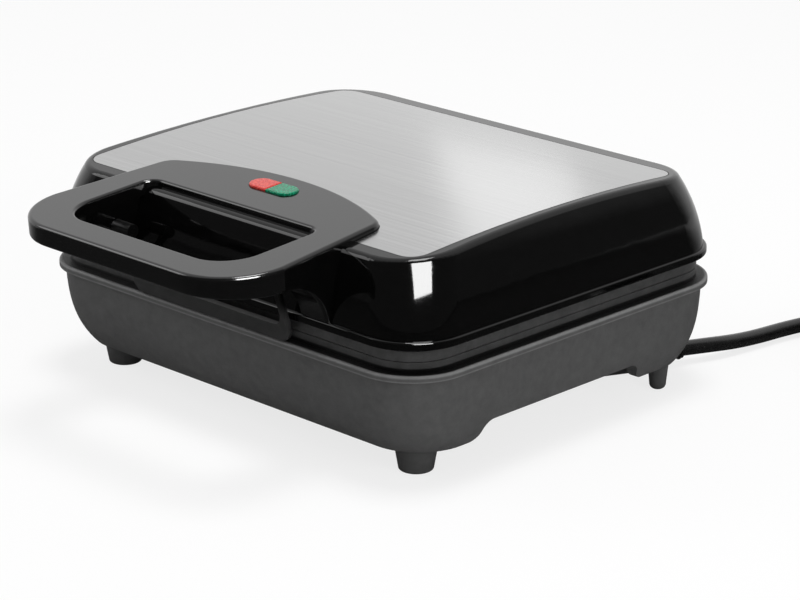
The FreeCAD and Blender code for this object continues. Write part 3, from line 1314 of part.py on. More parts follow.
def make_tie():
    radius = value("Size.cord_radius")
    turns = [coil_entry - 90.0 + lap * 360.0 for lap in range(4)]
    reaches = [coil_point(turn).y - value("Size.coil_y") for turn in turns]
    heights = [coil_point(turn).z for turn in turns]
    slack = value("Size.coil_lift") - value("Size.tie_sheet") - value("Size.tie_clear")
    body = new_body("cord_tie")
    middle = value("Size.coil_y") + (max(reaches) + min(reaches)) / 2
    level = (max(heights) + min(heights)) / 2
    depth = max(reaches) - min(reaches) + 2 * radius + 2 * value("Size.tie_slack")
    height = max(heights) - min(heights) + 2 * radius + 2 * slack
    ring = new_sketch(body, "tie_ring", "YZ_Plane", x=middle, y=level, z="Size.coil_x")
    add_rounded_rectangle(ring, depth, height, "Size.cord_radius", "inner")
    add_rounded_rectangle(ring, f"{depth} + 2 * Size.tie_sheet", f"{height} + 2 * Size.tie_sheet",
                          "Size.cord_radius + Size.tie_sheet", "outer")
    pad(body, ring, "Size.tie_width", both=True)
    finish("cord_tie", set_down(body))


def make_plug(tail):
    body = new_body("plug")
    start = tail.y - value("Size.plug_clear")
    neck = []
    for share, radius in ((0, "Size.plug_tail_start"), (1, "Size.plug_neck")):
        section = new_sketch(body, f"plug_tail_{share}", "XZ_Plane", x=tail.x, y=tail.z,
                             z=f"{-start} + {share} * Size.plug_tail")
        add_rounded_rectangle(section, f"2 * {radius}", f"2 * {radius}", f"{radius} * Size.plug_round")
        neck.append(section)
    loft(body, neck)
    grip = [(0.0, "2 * Size.plug_neck", "2 * Size.plug_neck", "Size.plug_neck * Size.plug_round"),
            (0.5, "2 * Size.plug_half_width", "2 * Size.plug_half_height", "Size.plug_corner")]
    sections = []
    for index, (share, width, height, corner) in enumerate(grip):
        section = new_sketch(body, f"plug_grip_{index}", "XZ_Plane", x=tail.x, y=tail.z,
                             z=f"{-start} + Size.plug_tail + {share} * Size.plug_length")
        add_rounded_rectangle(section, width, height, corner)
        sections.append(section)
    loft(body, sections)
    face = new_sketch(body, "plug_face", "XZ_Plane", x=tail.x, y=tail.z,
                      z=f"{-start} + Size.plug_tail + 0.5 * Size.plug_length")
    add_rounded_rectangle(face, *grip[-1][1:])
    pad(body, face, "0.5 * Size.plug_length")
    finish("plug", set_down(body))
    pins = []
    front = start - value("Size.plug_tail + Size.plug_length")
    for side, hand in ((-1, "left"), (1, "right")):
        pin = doc.addObject("Part::Cylinder", f"plug_pin_{hand}")
        pin.Placement = FreeCAD.Placement(Vector(0, 0, 0), FreeCAD.Rotation(Vector(1, 0, 0), 90))
        bind(pin, Radius="Size.plug_pin_radius", Height="Size.plug_pin_length",
             Placement__Base__x=f"{tail.x} + {side} * Size.plug_pin_spacing / 2",
             Placement__Base__y=front, Placement__Base__z=tail.z)
        pins.append(pin)
    finish("plug_pins", set_down(combine("Compound", "plug_pins", pieces=pins)))


# The wiring inside: a terminal block, a cord clamp and leads that lie on the floor

def make_wiring():
    block_x, block_y = "Size.gland_x - 2 * Size.boss_width", "Size.gland_y - Size.boss_length"
    block = primitive("Box", "terminal_block", Length="2 * Size.boss_width", Width="Size.boss_length",
                      Height="Size.boss_length / 2")
    finish("terminal_block", set_down(block, f"{block_x} - Size.boss_width", f"{block_y}", "Size.floor_top"))
    clamp = primitive("Box", "cord_clamp", Length="Size.boss_width", Width="Size.boss_length / 2",
                      Height="Size.boss_length / 3")
    finish("cord_clamp", set_down(clamp, "Size.gland_x - Size.boss_width / 2",
                                  f"{block_y} + Size.boss_length / 4", "Size.floor_top"))
    radius = value("Size.wire_radius")
    level = value("Size.floor_top + Size.wire_radius + Size.wire_clear")
    ends = value("Size.gland_x") - 3 * value("Size.boss_width")
    near = value("Size.gland_y") - value("Size.boss_length") / 2
    out, across, ahead = (value(f"Size.lead_{part}") for part in ("out", "side", "end"))
    leads = []
    for index in range(3):
        offset = index * 3 * radius
        points = [
            Vector(ends, near - offset, level),
            Vector(ends - out, near - offset, level),
            Vector(ends - across - offset, near - out, level),
            Vector(ends - across - offset, near - ahead, level),
        ]
        path = rounded_path(points)
        leads.append(swept_tube(path, points[0], Vector(-1, 0, 0), radius))
    feature_from("base_wiring", Part.Compound(leads))


def make_lid_wiring():
    radius = value("Size.wire_radius")
    level = value("Size.lid_ceiling - Size.wire_radius - Size.wire_clear")
    start_y = value(f"{front_rim} + Size.lens_back") + 6 * value("Size.lamp_radius")
    out, turn, end = (value(f"Size.lamp_lead_{part}") for part in ("out", "turn", "end"))
    spread = value("Size.lamp_lead_side")
    leads = []
    for side in (-1, 1):
        x = side * value("Size.lamp_spacing")
        points = [
            Vector(x, start_y, level),
            Vector(x, start_y + out, level),
            Vector(x + side * spread, start_y + turn, level),
            Vector(x + side * spread, start_y + end, level),
        ]
        path = rounded_path(points)
        leads.append(swept_tube(path, points[0], Vector(0, 1, 0), radius))
    feature_from("lid_wiring", Part.Compound(leads))


make_base_shell()
make_feet()
make_plate("lower_plate", lower_face, "Size.rim_top", up=False)
make_plate("upper_plate", upper_face, "Size.lid_bottom", up=True)
make_screws("lower_plate_screws", "(Size.rim_top - Size.screw_seat)", up=True)
make_screws("upper_plate_screws", "(Size.lid_bottom + Size.screw_seat)", up=False)
make_heater("lower_heater", lower_heater_z)
make_heater("upper_heater", upper_heater_z)
make_reflector("lower_reflector", lower_pan_z, up=True)
make_reflector("upper_reflector", f"({upper_pan_z} + Size.pan_sheet)", up=False)
make_controls()
make_wiring()
make_lid_shell()
make_steel_panel()
make_handle()
make_lenses()
make_lamps()
make_lid_wiring()
make_latch()
make_pins()
make_strain_relief()
make_plug(make_cord())
make_tie()
doc.recompute()

failed = [thing.Name for thing in doc.Objects if "Invalid" in thing.State or "Error" in thing.State]
for label, thing in parts:
    if thing.Shape.isNull() or not thing.Shape.isValid() or not thing.Shape.Solids:
        failed.append(label)
if failed:
    raise RuntimeError(f"these did not build: {sorted(set(failed))}")

os.makedirs("parts", exist_ok=True)
for label, thing in parts:
    thing.Shape.exportStep(f"parts/{label}.step")
print(len(parts), "pieces written")
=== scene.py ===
import math

import bpy
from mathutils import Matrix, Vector


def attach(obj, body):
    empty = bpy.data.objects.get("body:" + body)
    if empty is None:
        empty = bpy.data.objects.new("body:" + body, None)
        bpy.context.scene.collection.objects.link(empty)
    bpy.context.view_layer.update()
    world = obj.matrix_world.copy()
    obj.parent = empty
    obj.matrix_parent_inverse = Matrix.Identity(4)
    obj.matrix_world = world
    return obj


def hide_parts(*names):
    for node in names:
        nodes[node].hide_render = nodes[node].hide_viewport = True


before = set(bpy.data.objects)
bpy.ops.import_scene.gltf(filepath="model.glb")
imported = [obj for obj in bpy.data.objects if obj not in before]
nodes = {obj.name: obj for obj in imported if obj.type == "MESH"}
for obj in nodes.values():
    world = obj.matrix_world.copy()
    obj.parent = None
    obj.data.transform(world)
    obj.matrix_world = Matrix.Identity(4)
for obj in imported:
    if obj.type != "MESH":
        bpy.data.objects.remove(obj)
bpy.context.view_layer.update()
scene = bpy.context.scene
scene.view_settings.view_transform = "Standard"

# camera at the photograph's angle
view = {
    "place": (0.8493, -0.82856, 0.4463),
    "turn": 44.58,  # degrees round from the front
    "down": 19.0,  # degrees below level
    "lens": 132.2,
    "sensor": 36.0,
    "farthest": 50.0,
}

cameraData = bpy.data.cameras.new("camera")
cameraData.lens = view["lens"]
cameraData.sensor_width = view["sensor"]
cameraData.sensor_fit = "HORIZONTAL"
cameraData.clip_end = view["farthest"]
camera = bpy.data.objects.new("camera", cameraData)
camera.location = view["place"]
camera.rotation_euler = (math.radians(90.0 - view["down"]), 0.0, math.radians(view["turn"]))
scene.collection.objects.link(camera)
scene.camera = camera
print("camera placed")

# mains cord: out of the strain relief, along the table, then wound up behind the base
mainsCord = {
    "back": 0.0214354,  # the part's shift along y
    "diameter": 0.0068,
    "length": 0.856,
    "lift": 0.0045,  # middle of the cord where it lies on the table
    "route": [
        (0.08649, 0.09947, 0.0066),
        (0.09252, 0.11210, 0.0066),
        (0.0954, 0.1265, 0.0052),
        (0.0974, 0.1410, 0.0045),
        (0.0993, 0.1560, 0.0045),
        (0.1026, 0.1705, 0.0045),
        (0.10486, 0.18048, 0.0045),
        (0.10965, 0.19363, 0.0045),
    ],
    "order": 3,  # of the curve through the points
    "steps": 6,  # between two points
    "sides": 5,  # facets of a quarter of its round section
}
coil = {
    "middle": (0.1505, 0.186),
    "radius": 0.041,
    "pitch": 0.0075,  # inward step of each turn
    "layer": 0.0074,  # height of the second layer
    "dip": 0.0012,  # how far the climb swings in
    "entry": 160.0,
    "inward": 540.0,  # degrees turned on the table, going in
    "climb": 180.0,
    "outward": 520.0,  # degrees turned on the second layer, going out
    "step": 20.0,
    "rise": 0.0013,  # last lift, up to the plug's middle
    "lastBend": 90.0,  # degrees over which it lifts
    "tail": 0.0068,
}


def easeIn(share):
    return 0.5 - 0.5 * math.cos(math.pi * share)


def coilPoint(turned):
    pitch = coil["pitch"] / 360.0
    inner = coil["radius"] - pitch * coil["inward"]
    total = coil["inward"] + coil["climb"] + coil["outward"]
    if turned <= coil["inward"]:
        radius, height = coil["radius"] - pitch * turned, 0.0
    elif turned <= coil["inward"] + coil["climb"]:
        share = (turned - coil["inward"]) / coil["climb"]
        radius = inner - coil["dip"] * math.sin(math.pi * share)
        height = coil["layer"] * easeIn(share)
    else:
        radius = inner + pitch * (turned - coil["inward"] - coil["climb"])
        share = max(0.0, 1.0 - (total - turned) / coil["lastBend"])
        height = coil["layer"] + coil["rise"] * easeIn(share)
    angle = math.radians(coil["entry"] - turned)
    return (coil["middle"][0] + radius * math.cos(angle),
            coil["middle"][1] + radius * math.sin(angle), mainsCord["lift"] + height)


def makeCord(material):
    total = coil["inward"] + coil["climb"] + coil["outward"]
    points = list(mainsCord["route"])
    for index in range(int(total / coil["step"]) + 1):
        points.append(coilPoint(coil["step"] * index))
    end = points[-1]
    points.append((end[0], end[1] - coil["tail"], end[2]))
    curve = bpy.data.curves.new("mains_cord", "CURVE")
    curve.dimensions = "3D"
    curve.bevel_depth = 1.0  # the points' own radius gives the thickness
    curve.bevel_resolution = mainsCord["sides"]
    curve.use_fill_caps = True
    curve.resolution_u = mainsCord["steps"]
    spline = curve.splines.new("NURBS")
    spline.points.add(len(points) - 1)
    for spot, place in zip(spline.points, points):
        spot.co = (place[0], place[1] + mainsCord["back"], place[2], 1.0)
        spot.radius = mainsCord["diameter"] / 2
    spline.order_u = mainsCord["order"]
    spline.use_endpoint_u = True
    curve.materials.append(material)
    piece = bpy.data.objects.new("mains_cord", curve)
    scene.collection.objects.link(piece)
    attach(piece, "base")
    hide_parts("cord", "cord_coil")


# moulded ribs round the strain relief and round the plug's bend relief
ribSets = {
    "strain_ribs": {"Start": (0.08197, 0.111428, 0.0066), "End": (0.085801, 0.119461, 0.0066),
                    "Count": 4, "Radius": 0.00442, "End Share": 0.94, "Thickness": 0.0006},
    "plug_ribs": {"Start": (0.19108, 0.1824, 0.0132), "End": (0.19108, 0.1990, 0.0132),
                  "Count": 7, "Radius": 0.00578, "End Share": 0.69, "Thickness": 0.0006},
}
ribInputs = [("Geometry", "Geometry"), ("Start", "Vector"), ("End", "Vector"), ("Count", "Int"),
             ("Radius", "Float"), ("End Share", "Float"), ("Thickness", "Float"),
             ("Material", "Material")]
ribFacets = {"round": 48, "across": 10}


def makeRibTree():
    tree = bpy.data.node_groups.new("reliefRibs", "GeometryNodeTree")
    for label, kind in ribInputs:
        tree.interface.new_socket(label, in_out="INPUT", socket_type="NodeSocket" + kind)
    tree.interface.new_socket("Geometry", in_out="OUTPUT", socket_type="NodeSocketGeometry")
    given = tree.nodes.new("NodeGroupInput").outputs
    line = tree.nodes.new("GeometryNodeCurvePrimitiveLine")
    tree.links.new(given["Start"], line.inputs["Start"])
    tree.links.new(given["End"], line.inputs["End"])
    spots = tree.nodes.new("GeometryNodeCurveToPoints")
    spots.mode = "COUNT"
    tree.links.new(line.outputs["Curve"], spots.inputs["Curve"])
    tree.links.new(given["Count"], spots.inputs["Count"])

    # one rib, a ring with a round section
    ring = tree.nodes.new("GeometryNodeCurvePrimitiveCircle")
    ring.inputs["Resolution"].default_value = ribFacets["round"]
    tree.links.new(given["Radius"], ring.inputs["Radius"])
    section = tree.nodes.new("GeometryNodeCurvePrimitiveCircle")
    section.inputs["Resolution"].default_value = ribFacets["across"]
    tree.links.new(given["Thickness"], section.inputs["Radius"])
    rib = tree.nodes.new("GeometryNodeCurveToMesh")
    tree.links.new(ring.outputs["Curve"], rib.inputs["Curve"])
    tree.links.new(section.outputs["Curve"], rib.inputs["Profile Curve"])
    smooth = tree.nodes.new("GeometryNodeSetShadeSmooth")
    tree.links.new(rib.outputs["Mesh"], smooth.inputs["Geometry"])

    # from the full size to the share at the far end
    last = tree.nodes.new("ShaderNodeMath")
    last.operation = "SUBTRACT"
    last.inputs[1].default_value = 1.0
    tree.links.new(given["Count"], last.inputs[0])
    shrink = tree.nodes.new("ShaderNodeMapRange")
    shrink.inputs["To Min"].default_value = 1.0
    order = tree.nodes.new("GeometryNodeInputIndex")
    tree.links.new(order.outputs["Index"], shrink.inputs["Value"])
    tree.links.new(last.outputs["Value"], shrink.inputs["From Max"])
    tree.links.new(given["End Share"], shrink.inputs["To Max"])

    placed = tree.nodes.new("GeometryNodeInstanceOnPoints")
    tree.links.new(spots.outputs["Points"], placed.inputs["Points"])
    tree.links.new(spots.outputs["Rotation"], placed.inputs["Rotation"])
    tree.links.new(smooth.outputs["Geometry"], placed.inputs["Instance"])
    tree.links.new(shrink.outputs["Result"], placed.inputs["Scale"])
    real = tree.nodes.new("GeometryNodeRealizeInstances")
    tree.links.new(placed.outputs["Instances"], real.inputs["Geometry"])
    dressed = tree.nodes.new("GeometryNodeSetMaterial")
    tree.links.new(real.outputs["Geometry"], dressed.inputs["Geometry"])
    tree.links.new(given["Material"], dressed.inputs["Material"])
    made = tree.nodes.new("NodeGroupOutput")
    tree.links.new(dressed.outputs["Geometry"], made.inputs["Geometry"])
    return tree


def makeRibs(name, sizes, tree, material):
    piece = bpy.data.objects.new(name, bpy.data.meshes.new(name + "_seed"))
    scene.collection.objects.link(piece)
    grower = piece.modifiers.new("ribs", "NODES")
    grower.node_group = tree
    chosen = dict(sizes, Material=material)
    for socket in tree.interface.items_tree:
        if socket.in_out == "INPUT" and socket.name in chosen:
            grower[socket.identifier] = chosen[socket.name]
    grown = piece.evaluated_get(bpy.context.evaluated_depsgraph_get())
    mesh = bpy.data.meshes.new_from_object(grown)
    piece.modifiers.remove(grower)
    piece.data = mesh
    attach(piece, "base")
    print(name, len(mesh.vertices), "points")


# small steps that the shader groups, the finishes and the studio are built from
def feed(tree, socket, given):
    if isinstance(given, (float, tuple)):
        socket.default_value = given
    else:
        tree.links.new(given, socket)


def addNoise(tree, place, scale, detail, rough):
    noise = tree.nodes.new("ShaderNodeTexNoise")
    labels = ("Vector", "Scale", "Detail", "Roughness")
    for label, given in zip(labels, (place, scale, detail, rough)):
        feed(tree, noise.inputs[label], given)
    return noise.outputs["Fac"]


def addRange(tree, source, fromSpan, toSpan):
    spread = tree.nodes.new("ShaderNodeMapRange")
    labels = ("Value", "From Min", "From Max", "To Min", "To Max")
    for label, given in zip(labels, (source, *fromSpan, *toSpan)):
        feed(tree, spread.inputs[label], given)
    return spread.outputs["Result"]


def addMath(tree, operation, first, second):
    step = tree.nodes.new("ShaderNodeMath")
    step.operation = operation
    feed(tree, step.inputs[0], first)
    feed(tree, step.inputs[1], second)
    return step.outputs["Value"]


def addVectorMath(tree, operation, first, second=None):
    step = tree.nodes.new("ShaderNodeVectorMath")
    step.operation = operation
    feed(tree, step.inputs[0], first)
    if second is not None:
        feed(tree, step.inputs["Scale" if operation == "SCALE" else 1], second)
    return step.outputs["Value" if operation in ("LENGTH", "DOT_PRODUCT") else "Vector"]


def addHeight(tree, place):
    split = tree.nodes.new("ShaderNodeSeparateXYZ")
    tree.links.new(place, split.inputs["Vector"])
    return split.outputs["Z"]


def addColours(tree, share, dark, light):
    mix = tree.nodes.new("ShaderNodeMix")
    mix.data_type = "RGBA"
    shades = [socket for socket in mix.inputs if socket.type == "RGBA"]
    tree.links.new(dark, shades[0])
    tree.links.new(light, shades[1])
    tree.links.new(share, mix.inputs["Factor"])
    return [socket for socket in mix.outputs if socket.type == "RGBA"][0]


# shader groups: moulding grain, brushed lines, lens stipple and strips of painted shade and
# painted highlight along the rim
wholeSpan = (0.0, 1.0)
noiseSpan = (0.3, 0.7)  # where noise has most of its values
grainNoise = {"cloudScale": 240.0, "cloudDetail": 4.0, "cloudRough": 0.6,
              "detail": 2.0, "rough": 0.5}
brushNoise = {"detail": 3.0, "rough": 0.6}
finishInputs = [("Place", "Vector"), ("Dark", "Color"), ("Light", "Color"), ("Smooth", "Float"),
                ("Rough", "Float"), ("Scale", "Float")]
finishOutputs = [("Color", "Color"), ("Roughness", "Float"), ("Height", "Float")]


def newGroup(name, inputs, outputs):
    group = bpy.data.node_groups.new(name, "ShaderNodeTree")
    for label, kind in inputs:
        group.interface.new_socket(label, in_out="INPUT", socket_type="NodeSocket" + kind)
    for label, kind in outputs:
        group.interface.new_socket(label, in_out="OUTPUT", socket_type="NodeSocket" + kind)
    given = group.nodes.new("NodeGroupInput").outputs
    return group, given, group.nodes.new("NodeGroupOutput").inputs


def endGroup(group, given, made, tint, height):
    share = addRange(group, tint, noiseSpan, wholeSpan)
    colour = addColours(group, share, given["Dark"], given["Light"])
    rough = addRange(group, height, noiseSpan, (given["Smooth"], given["Rough"]))
    group.links.new(colour, made["Color"])
    group.links.new(rough, made["Roughness"])
    group.links.new(height, made["Height"])
    return group


def makeGrainGroup():
    group, given, made = newGroup("mouldingGrain", finishInputs, finishOutputs)
    cloud = addNoise(group, given["Place"], grainNoise["cloudScale"], grainNoise["cloudDetail"],
                     grainNoise["cloudRough"])
    grain = addNoise(group, given["Place"], given["Scale"], grainNoise["detail"],
                     grainNoise["rough"])
    return endGroup(group, given, made, cloud, grain)


def makeBrushGroup():
    group, given, made = newGroup("brushedLines", finishInputs, finishOutputs)
    lines = addNoise(group, given["Place"], given["Scale"], brushNoise["detail"],
                     brushNoise["rough"])
    return endGroup(group, given, made, lines, lines)


def makeStippleGroup():
    group, given, made = newGroup("lensStipple", finishInputs, finishOutputs)
    cells = group.nodes.new("ShaderNodeTexVoronoi")
    group.links.new(given["Place"], cells.inputs["Vector"])
    group.links.new(given["Scale"], cells.inputs["Scale"])
    return endGroup(group, given, made, cells.outputs["Distance"], cells.outputs["Distance"])


# a painted strip, of shade where its tone is below one and of highlight where above, is told by
# its distance in from the rim's edge and by its height
rimOutline = {
    "middle": (0.0, 0.0214354, 0.0),
    "flat": (1.0, 1.0, 0.0),
    "straight": (0.089, 0.0715, 0.0),  # half the length of the straight sides
    "corner": 0.026,
}
paintedStripInputs = [("Place", "Vector"), ("Depth Start", "Float"), ("Depth End", "Float"),
               ("Height Start", "Float"), ("Height End", "Float"), ("Painted Tone", "Float"),
               ("Shade", "Float")]


# painted shade and painted highlight: a band round the rim, given by depth and height, whose tone
# scales the factor passed along
def makePaintedStripGroup():
    group, given, made = newGroup("paintedRimLight", paintedStripInputs, [("Shade", "Float")])
    spot = addVectorMath(group, "SUBTRACT", given["Place"], rimOutline["middle"])
    spot = addVectorMath(group, "MULTIPLY", spot, rimOutline["flat"])
    spot = addVectorMath(group, "ABSOLUTE", spot)
    spot = addVectorMath(group, "SUBTRACT", spot, rimOutline["straight"])
    spot = addVectorMath(group, "MAXIMUM", spot, (0.0, 0.0, 0.0))
    reach = addVectorMath(group, "LENGTH", spot)
    depth = addMath(group, "SUBTRACT", rimOutline["corner"], reach)
    inside = addRange(group, depth, (given["Depth Start"], given["Depth End"]), wholeSpan)
    level = addRange(group, addHeight(group, given["Place"]),
                     (given["Height Start"], given["Height End"]), wholeSpan)
    change = addMath(group, "SUBTRACT", given["Painted Tone"], 1.0)
    change = addMath(group, "MULTIPLY", addMath(group, "MULTIPLY", inside, level), change)
    paintedTone = addMath(group, "ADD", 1.0, change)
    group.links.new(addMath(group, "MULTIPLY", paintedTone, given["Shade"]), made["Shade"])
    return group


groups = {"grain": makeGrainGroup(), "brush": makeBrushGroup(), "stipple": makeStippleGroup(),
          "paintedStrip": makePaintedStripGroup()}
print("shader groups built")


def grey(level):
    return (level, level, level)


# finishes: colours are linear, sizes in metres, scales in features per metre
# a painted strip has its start and end in depth, its start and end in height, and its tone, below
# one for painted shade and above one for a painted highlight
finishes = {
    "basePlastic": {"effect": "grain", "dark": grey(0.072), "light": grey(0.090),
                    "rough": (0.46, 0.62), "scale": 2600.0, "height": 0.00004,
                    "paintedLightStrips": [(0.0013, 0.0017, 0.0483, 0.0487, 0.06),  # painted shadow on the ledge beside the plates
                               (0.0013, 0.0009, 0.0477, 0.0484, 2.1),  # painted highlight on the upper edge of the rim
                               (0.0010, 0.0006, 0.0470, 0.0466, 1.6)],  # painted highlight on its lower edge
                    "set": {"Specular IOR Level": 0.35}, "on": ["base_shell"]},
    "footPlastic": {"effect": "grain", "dark": grey(0.064), "light": grey(0.082),
                    "rough": (0.45, 0.6), "scale": 2600.0, "height": 0.00004,
                    "set": {"Specular IOR Level": 0.25}, "on": ["front_feet", "rear_feet"]},
    "lidGloss": {"effect": "grain", "dark": grey(0.0010), "light": grey(0.0016),
                 "rough": (0.05, 0.09), "scale": 900.0, "height": 0.000001,
                 "set": {"Specular IOR Level": 0.28}, "on": ["lid_shell"]},
    "handleGloss": {"effect": "grain", "dark": grey(0.0014), "light": grey(0.0022),
                    "rough": (0.1, 0.16), "scale": 1600.0, "height": 0.000003,
                    "set": {"Specular IOR Level": 0.5}, "on": ["handle"]},
    "latchPlastic": {"effect": "grain", "dark": grey(0.024), "light": grey(0.032),
                     "rough": (0.3, 0.42), "scale": 2200.0, "height": 0.00002,
                     # painted shade: between these two heights the latch's colour falls to the
                     # last factor, where the handle shades it
                     "paintedShadeAbove": (0.060, 0.067), "paintedShadeLeast": 0.08,
                     "set": {"Specular IOR Level": 0.25}, "on": ["latch"]},
    "nonstick": {"effect": "grain", "dark": grey(0.042), "light": grey(0.064),
                 "rough": (0.3, 0.5), "scale": 1500.0, "height": 0.00008,
                 "paintedLightStrips": [(0.0056, 0.0052, 0.0506, 0.0502, 0.06)],  # painted shadow at the foot of the lower edge
                 "set": {"Specular IOR Level": 0.5}, "on": ["lower_plate", "upper_plate"]},
    "innerPlastic": {"effect": "grain", "dark": grey(0.08), "light": grey(0.11),
                     "rough": (0.4, 0.55), "scale": 1800.0, "height": 0.00003, "set": {},
                     "on": ["thermostat", "terminal_block", "cord_clamp", "lamp_holder"]},
    "leadCover": {"effect": "grain", "dark": (0.62, 0.6, 0.54), "light": (0.72, 0.7, 0.64),
                  "rough": (0.4, 0.55), "scale": 1500.0, "height": 0.00004, "set": {},
                  "on": ["base_wiring", "lid_wiring"]},
    "cordCover": {"effect": "grain", "dark": grey(0.004), "light": grey(0.008),
                  "rough": (0.2, 0.3), "scale": 1200.0, "height": 0.00003,
                  "set": {"Specular IOR Level": 0.5},
                  "on": ["strain_relief", "plug", "cord_tie", "cord", "cord_coil"]},
    "fuseSleeve": {"effect": "grain", "dark": (0.66, 0.64, 0.58), "light": (0.78, 0.76, 0.7),
                   "rough": (0.7, 0.9), "scale": 1800.0, "height": 0.0001, "set": {},
                   "on": ["thermal_fuse"]},
    "panelSteel": {"effect": "brush", "dark": grey(0.395), "light": grey(0.485),
                   "rough": (0.17, 0.25), "scale": 1.0, "stretch": (6.0, 2100.0, 700.0),
                   "height": 0.000008, "set": {"Metallic": 1.0}, "on": ["steel_panel"]},
    "screwSteel": {"effect": "brush", "dark": grey(0.45), "light": grey(0.6),
                   "rough": (0.25, 0.4), "scale": 900.0, "height": 0.00001,
                   "set": {"Metallic": 1.0},
                   "on": ["lower_plate_screws", "upper_plate_screws", "hinge_pins"]},
    "pinBlack": {"effect": "brush", "dark": grey(0.0015), "light": grey(0.003),
                 "rough": (0.35, 0.5), "scale": 900.0, "height": 0.00001,
                 "set": {"Specular IOR Level": 0.2}, "on": ["latch_pins"]},
    "elementSheath": {"effect": "brush", "dark": (0.30, 0.28, 0.26), "light": (0.46, 0.43, 0.40),
                      "rough": (0.4, 0.6), "scale": 300.0, "height": 0.00003,
                      "set": {"Metallic": 1.0}, "on": ["lower_heater", "upper_heater"]},
    "reflectorSheet": {"effect": "brush", "dark": grey(0.62), "light": grey(0.74),
                       "rough": (0.3, 0.45), "scale": 1.0, "stretch": (40.0, 1200.0, 1200.0),
                       "height": 0.00001, "set": {"Metallic": 1.0},
                       "on": ["lower_reflector", "upper_reflector"]},
    "plugBrass": {"effect": "brush", "dark": grey(0.62), "light": grey(0.74),  # nickel plated
                  "rough": (0.14, 0.24), "scale": 1.0, "stretch": (700.0, 80.0, 700.0),
                  "height": 0.000006, "set": {"Metallic": 1.0}, "on": ["plug_pins"]},
    "redLens": {"effect": "stipple", "dark": (0.50, 0.008, 0.006), "light": (0.70, 0.08, 0.06),
                "rough": (0.1, 0.26), "scale": 1500.0, "height": 0.00012,
                "set": {"Specular IOR Level": 0.25}, "on": ["red_lens"]},
    "greenLens": {"effect": "stipple", "dark": (0.0, 0.10, 0.045), "light": (0.006, 0.30, 0.15),
                  "rough": (0.1, 0.26), "scale": 1500.0, "height": 0.00012,
                  "set": {"Specular IOR Level": 0.25}, "on": ["green_lens"]},
    "lampGlass": {"effect": "stipple", "dark": (0.75, 0.55, 0.42), "light": (0.9, 0.75, 0.6),
                  "rough": (0.1, 0.2), "scale": 600.0, "height": 0.00002,
                  "set": {"Transmission Weight": 0.6, "IOR": 1.49}, "on": ["indicator_lamps"]},
}


# chains the painted strips into one factor of painted shade and painted highlight
def addPaintedStrips(tree, place, paintedLightStrips):
    paintedTone = 1.0
    for sizes in paintedLightStrips:
        paintedStrip = tree.nodes.new("ShaderNodeGroup")
        paintedStrip.node_tree = groups["paintedStrip"]
        for socket, given in zip(paintedStrip.inputs, (place, *sizes, paintedTone)):
            feed(tree, socket, given)
        paintedTone = paintedStrip.outputs["Shade"]
    return paintedTone


def makeFinish(name, finish):
    material = bpy.data.materials.new(name)
    material.use_nodes = True
    tree = material.node_tree
    shader = tree.nodes["Principled BSDF"]
    place = tree.nodes.new("ShaderNodeTexCoord").outputs["Object"]
    if "stretch" in finish:
        mapping = tree.nodes.new("ShaderNodeMapping")
        mapping.inputs["Scale"].default_value = finish["stretch"]
        tree.links.new(place, mapping.inputs["Vector"])
        place = mapping.outputs["Vector"]
    effect = tree.nodes.new("ShaderNodeGroup")
    effect.node_tree = groups[finish["effect"]]
    effect.inputs["Dark"].default_value = (*finish["dark"], 1.0)
    effect.inputs["Light"].default_value = (*finish["light"], 1.0)
    effect.inputs["Smooth"].default_value = finish["rough"][0]
    effect.inputs["Rough"].default_value = finish["rough"][1]
    effect.inputs["Scale"].default_value = finish["scale"]
    tree.links.new(place, effect.inputs["Place"])
    bump = tree.nodes.new("ShaderNodeBump")
    bump.inputs["Distance"].default_value = finish["height"]
    tree.links.new(effect.outputs["Height"], bump.inputs["Height"])
    colour = effect.outputs["Color"]
    if "paintedShadeAbove" in finish:  # painted shade: the part under the handle is darkened towards black, standing in for the handle's shadow
        paintedShade = addRange(tree, addHeight(tree, place), finish["paintedShadeAbove"],
                        (1.0, finish["paintedShadeLeast"]))
        colour = addVectorMath(tree, "SCALE", colour, paintedShade)
    # painted shade and painted highlights along the rim scale the base colour
    if "paintedLightStrips" in finish:
        paintedTone = addPaintedStrips(tree, place, finish["paintedLightStrips"])
        colour = addVectorMath(tree, "SCALE", colour, paintedTone)
    tree.links.new(colour, shader.inputs["Base Color"])
    tree.links.new(effect.outputs["Roughness"], shader.inputs["Roughness"])
    tree.links.new(bump.outputs["Normal"], shader.inputs["Normal"])
    for label, level in finish["set"].items():
        shader.inputs[label].default_value = level
    return material


materials = {}
for finishName, finish in finishes.items():
    materials[finishName] = makeFinish(finishName, finish)
    for nodeName in finish["on"]:
        mesh = nodes[nodeName].data
        mesh.materials.clear()
        mesh.materials.append(materials[finishName])
print("finishes given to", len(nodes), "nodes")

ribTree = makeRibTree()
for ribName, ribSizes in ribSets.items():
    makeRibs(ribName, ribSizes, ribTree, materials["cordCover"])
makeCord(materials["cordCover"])
print("cord laid")

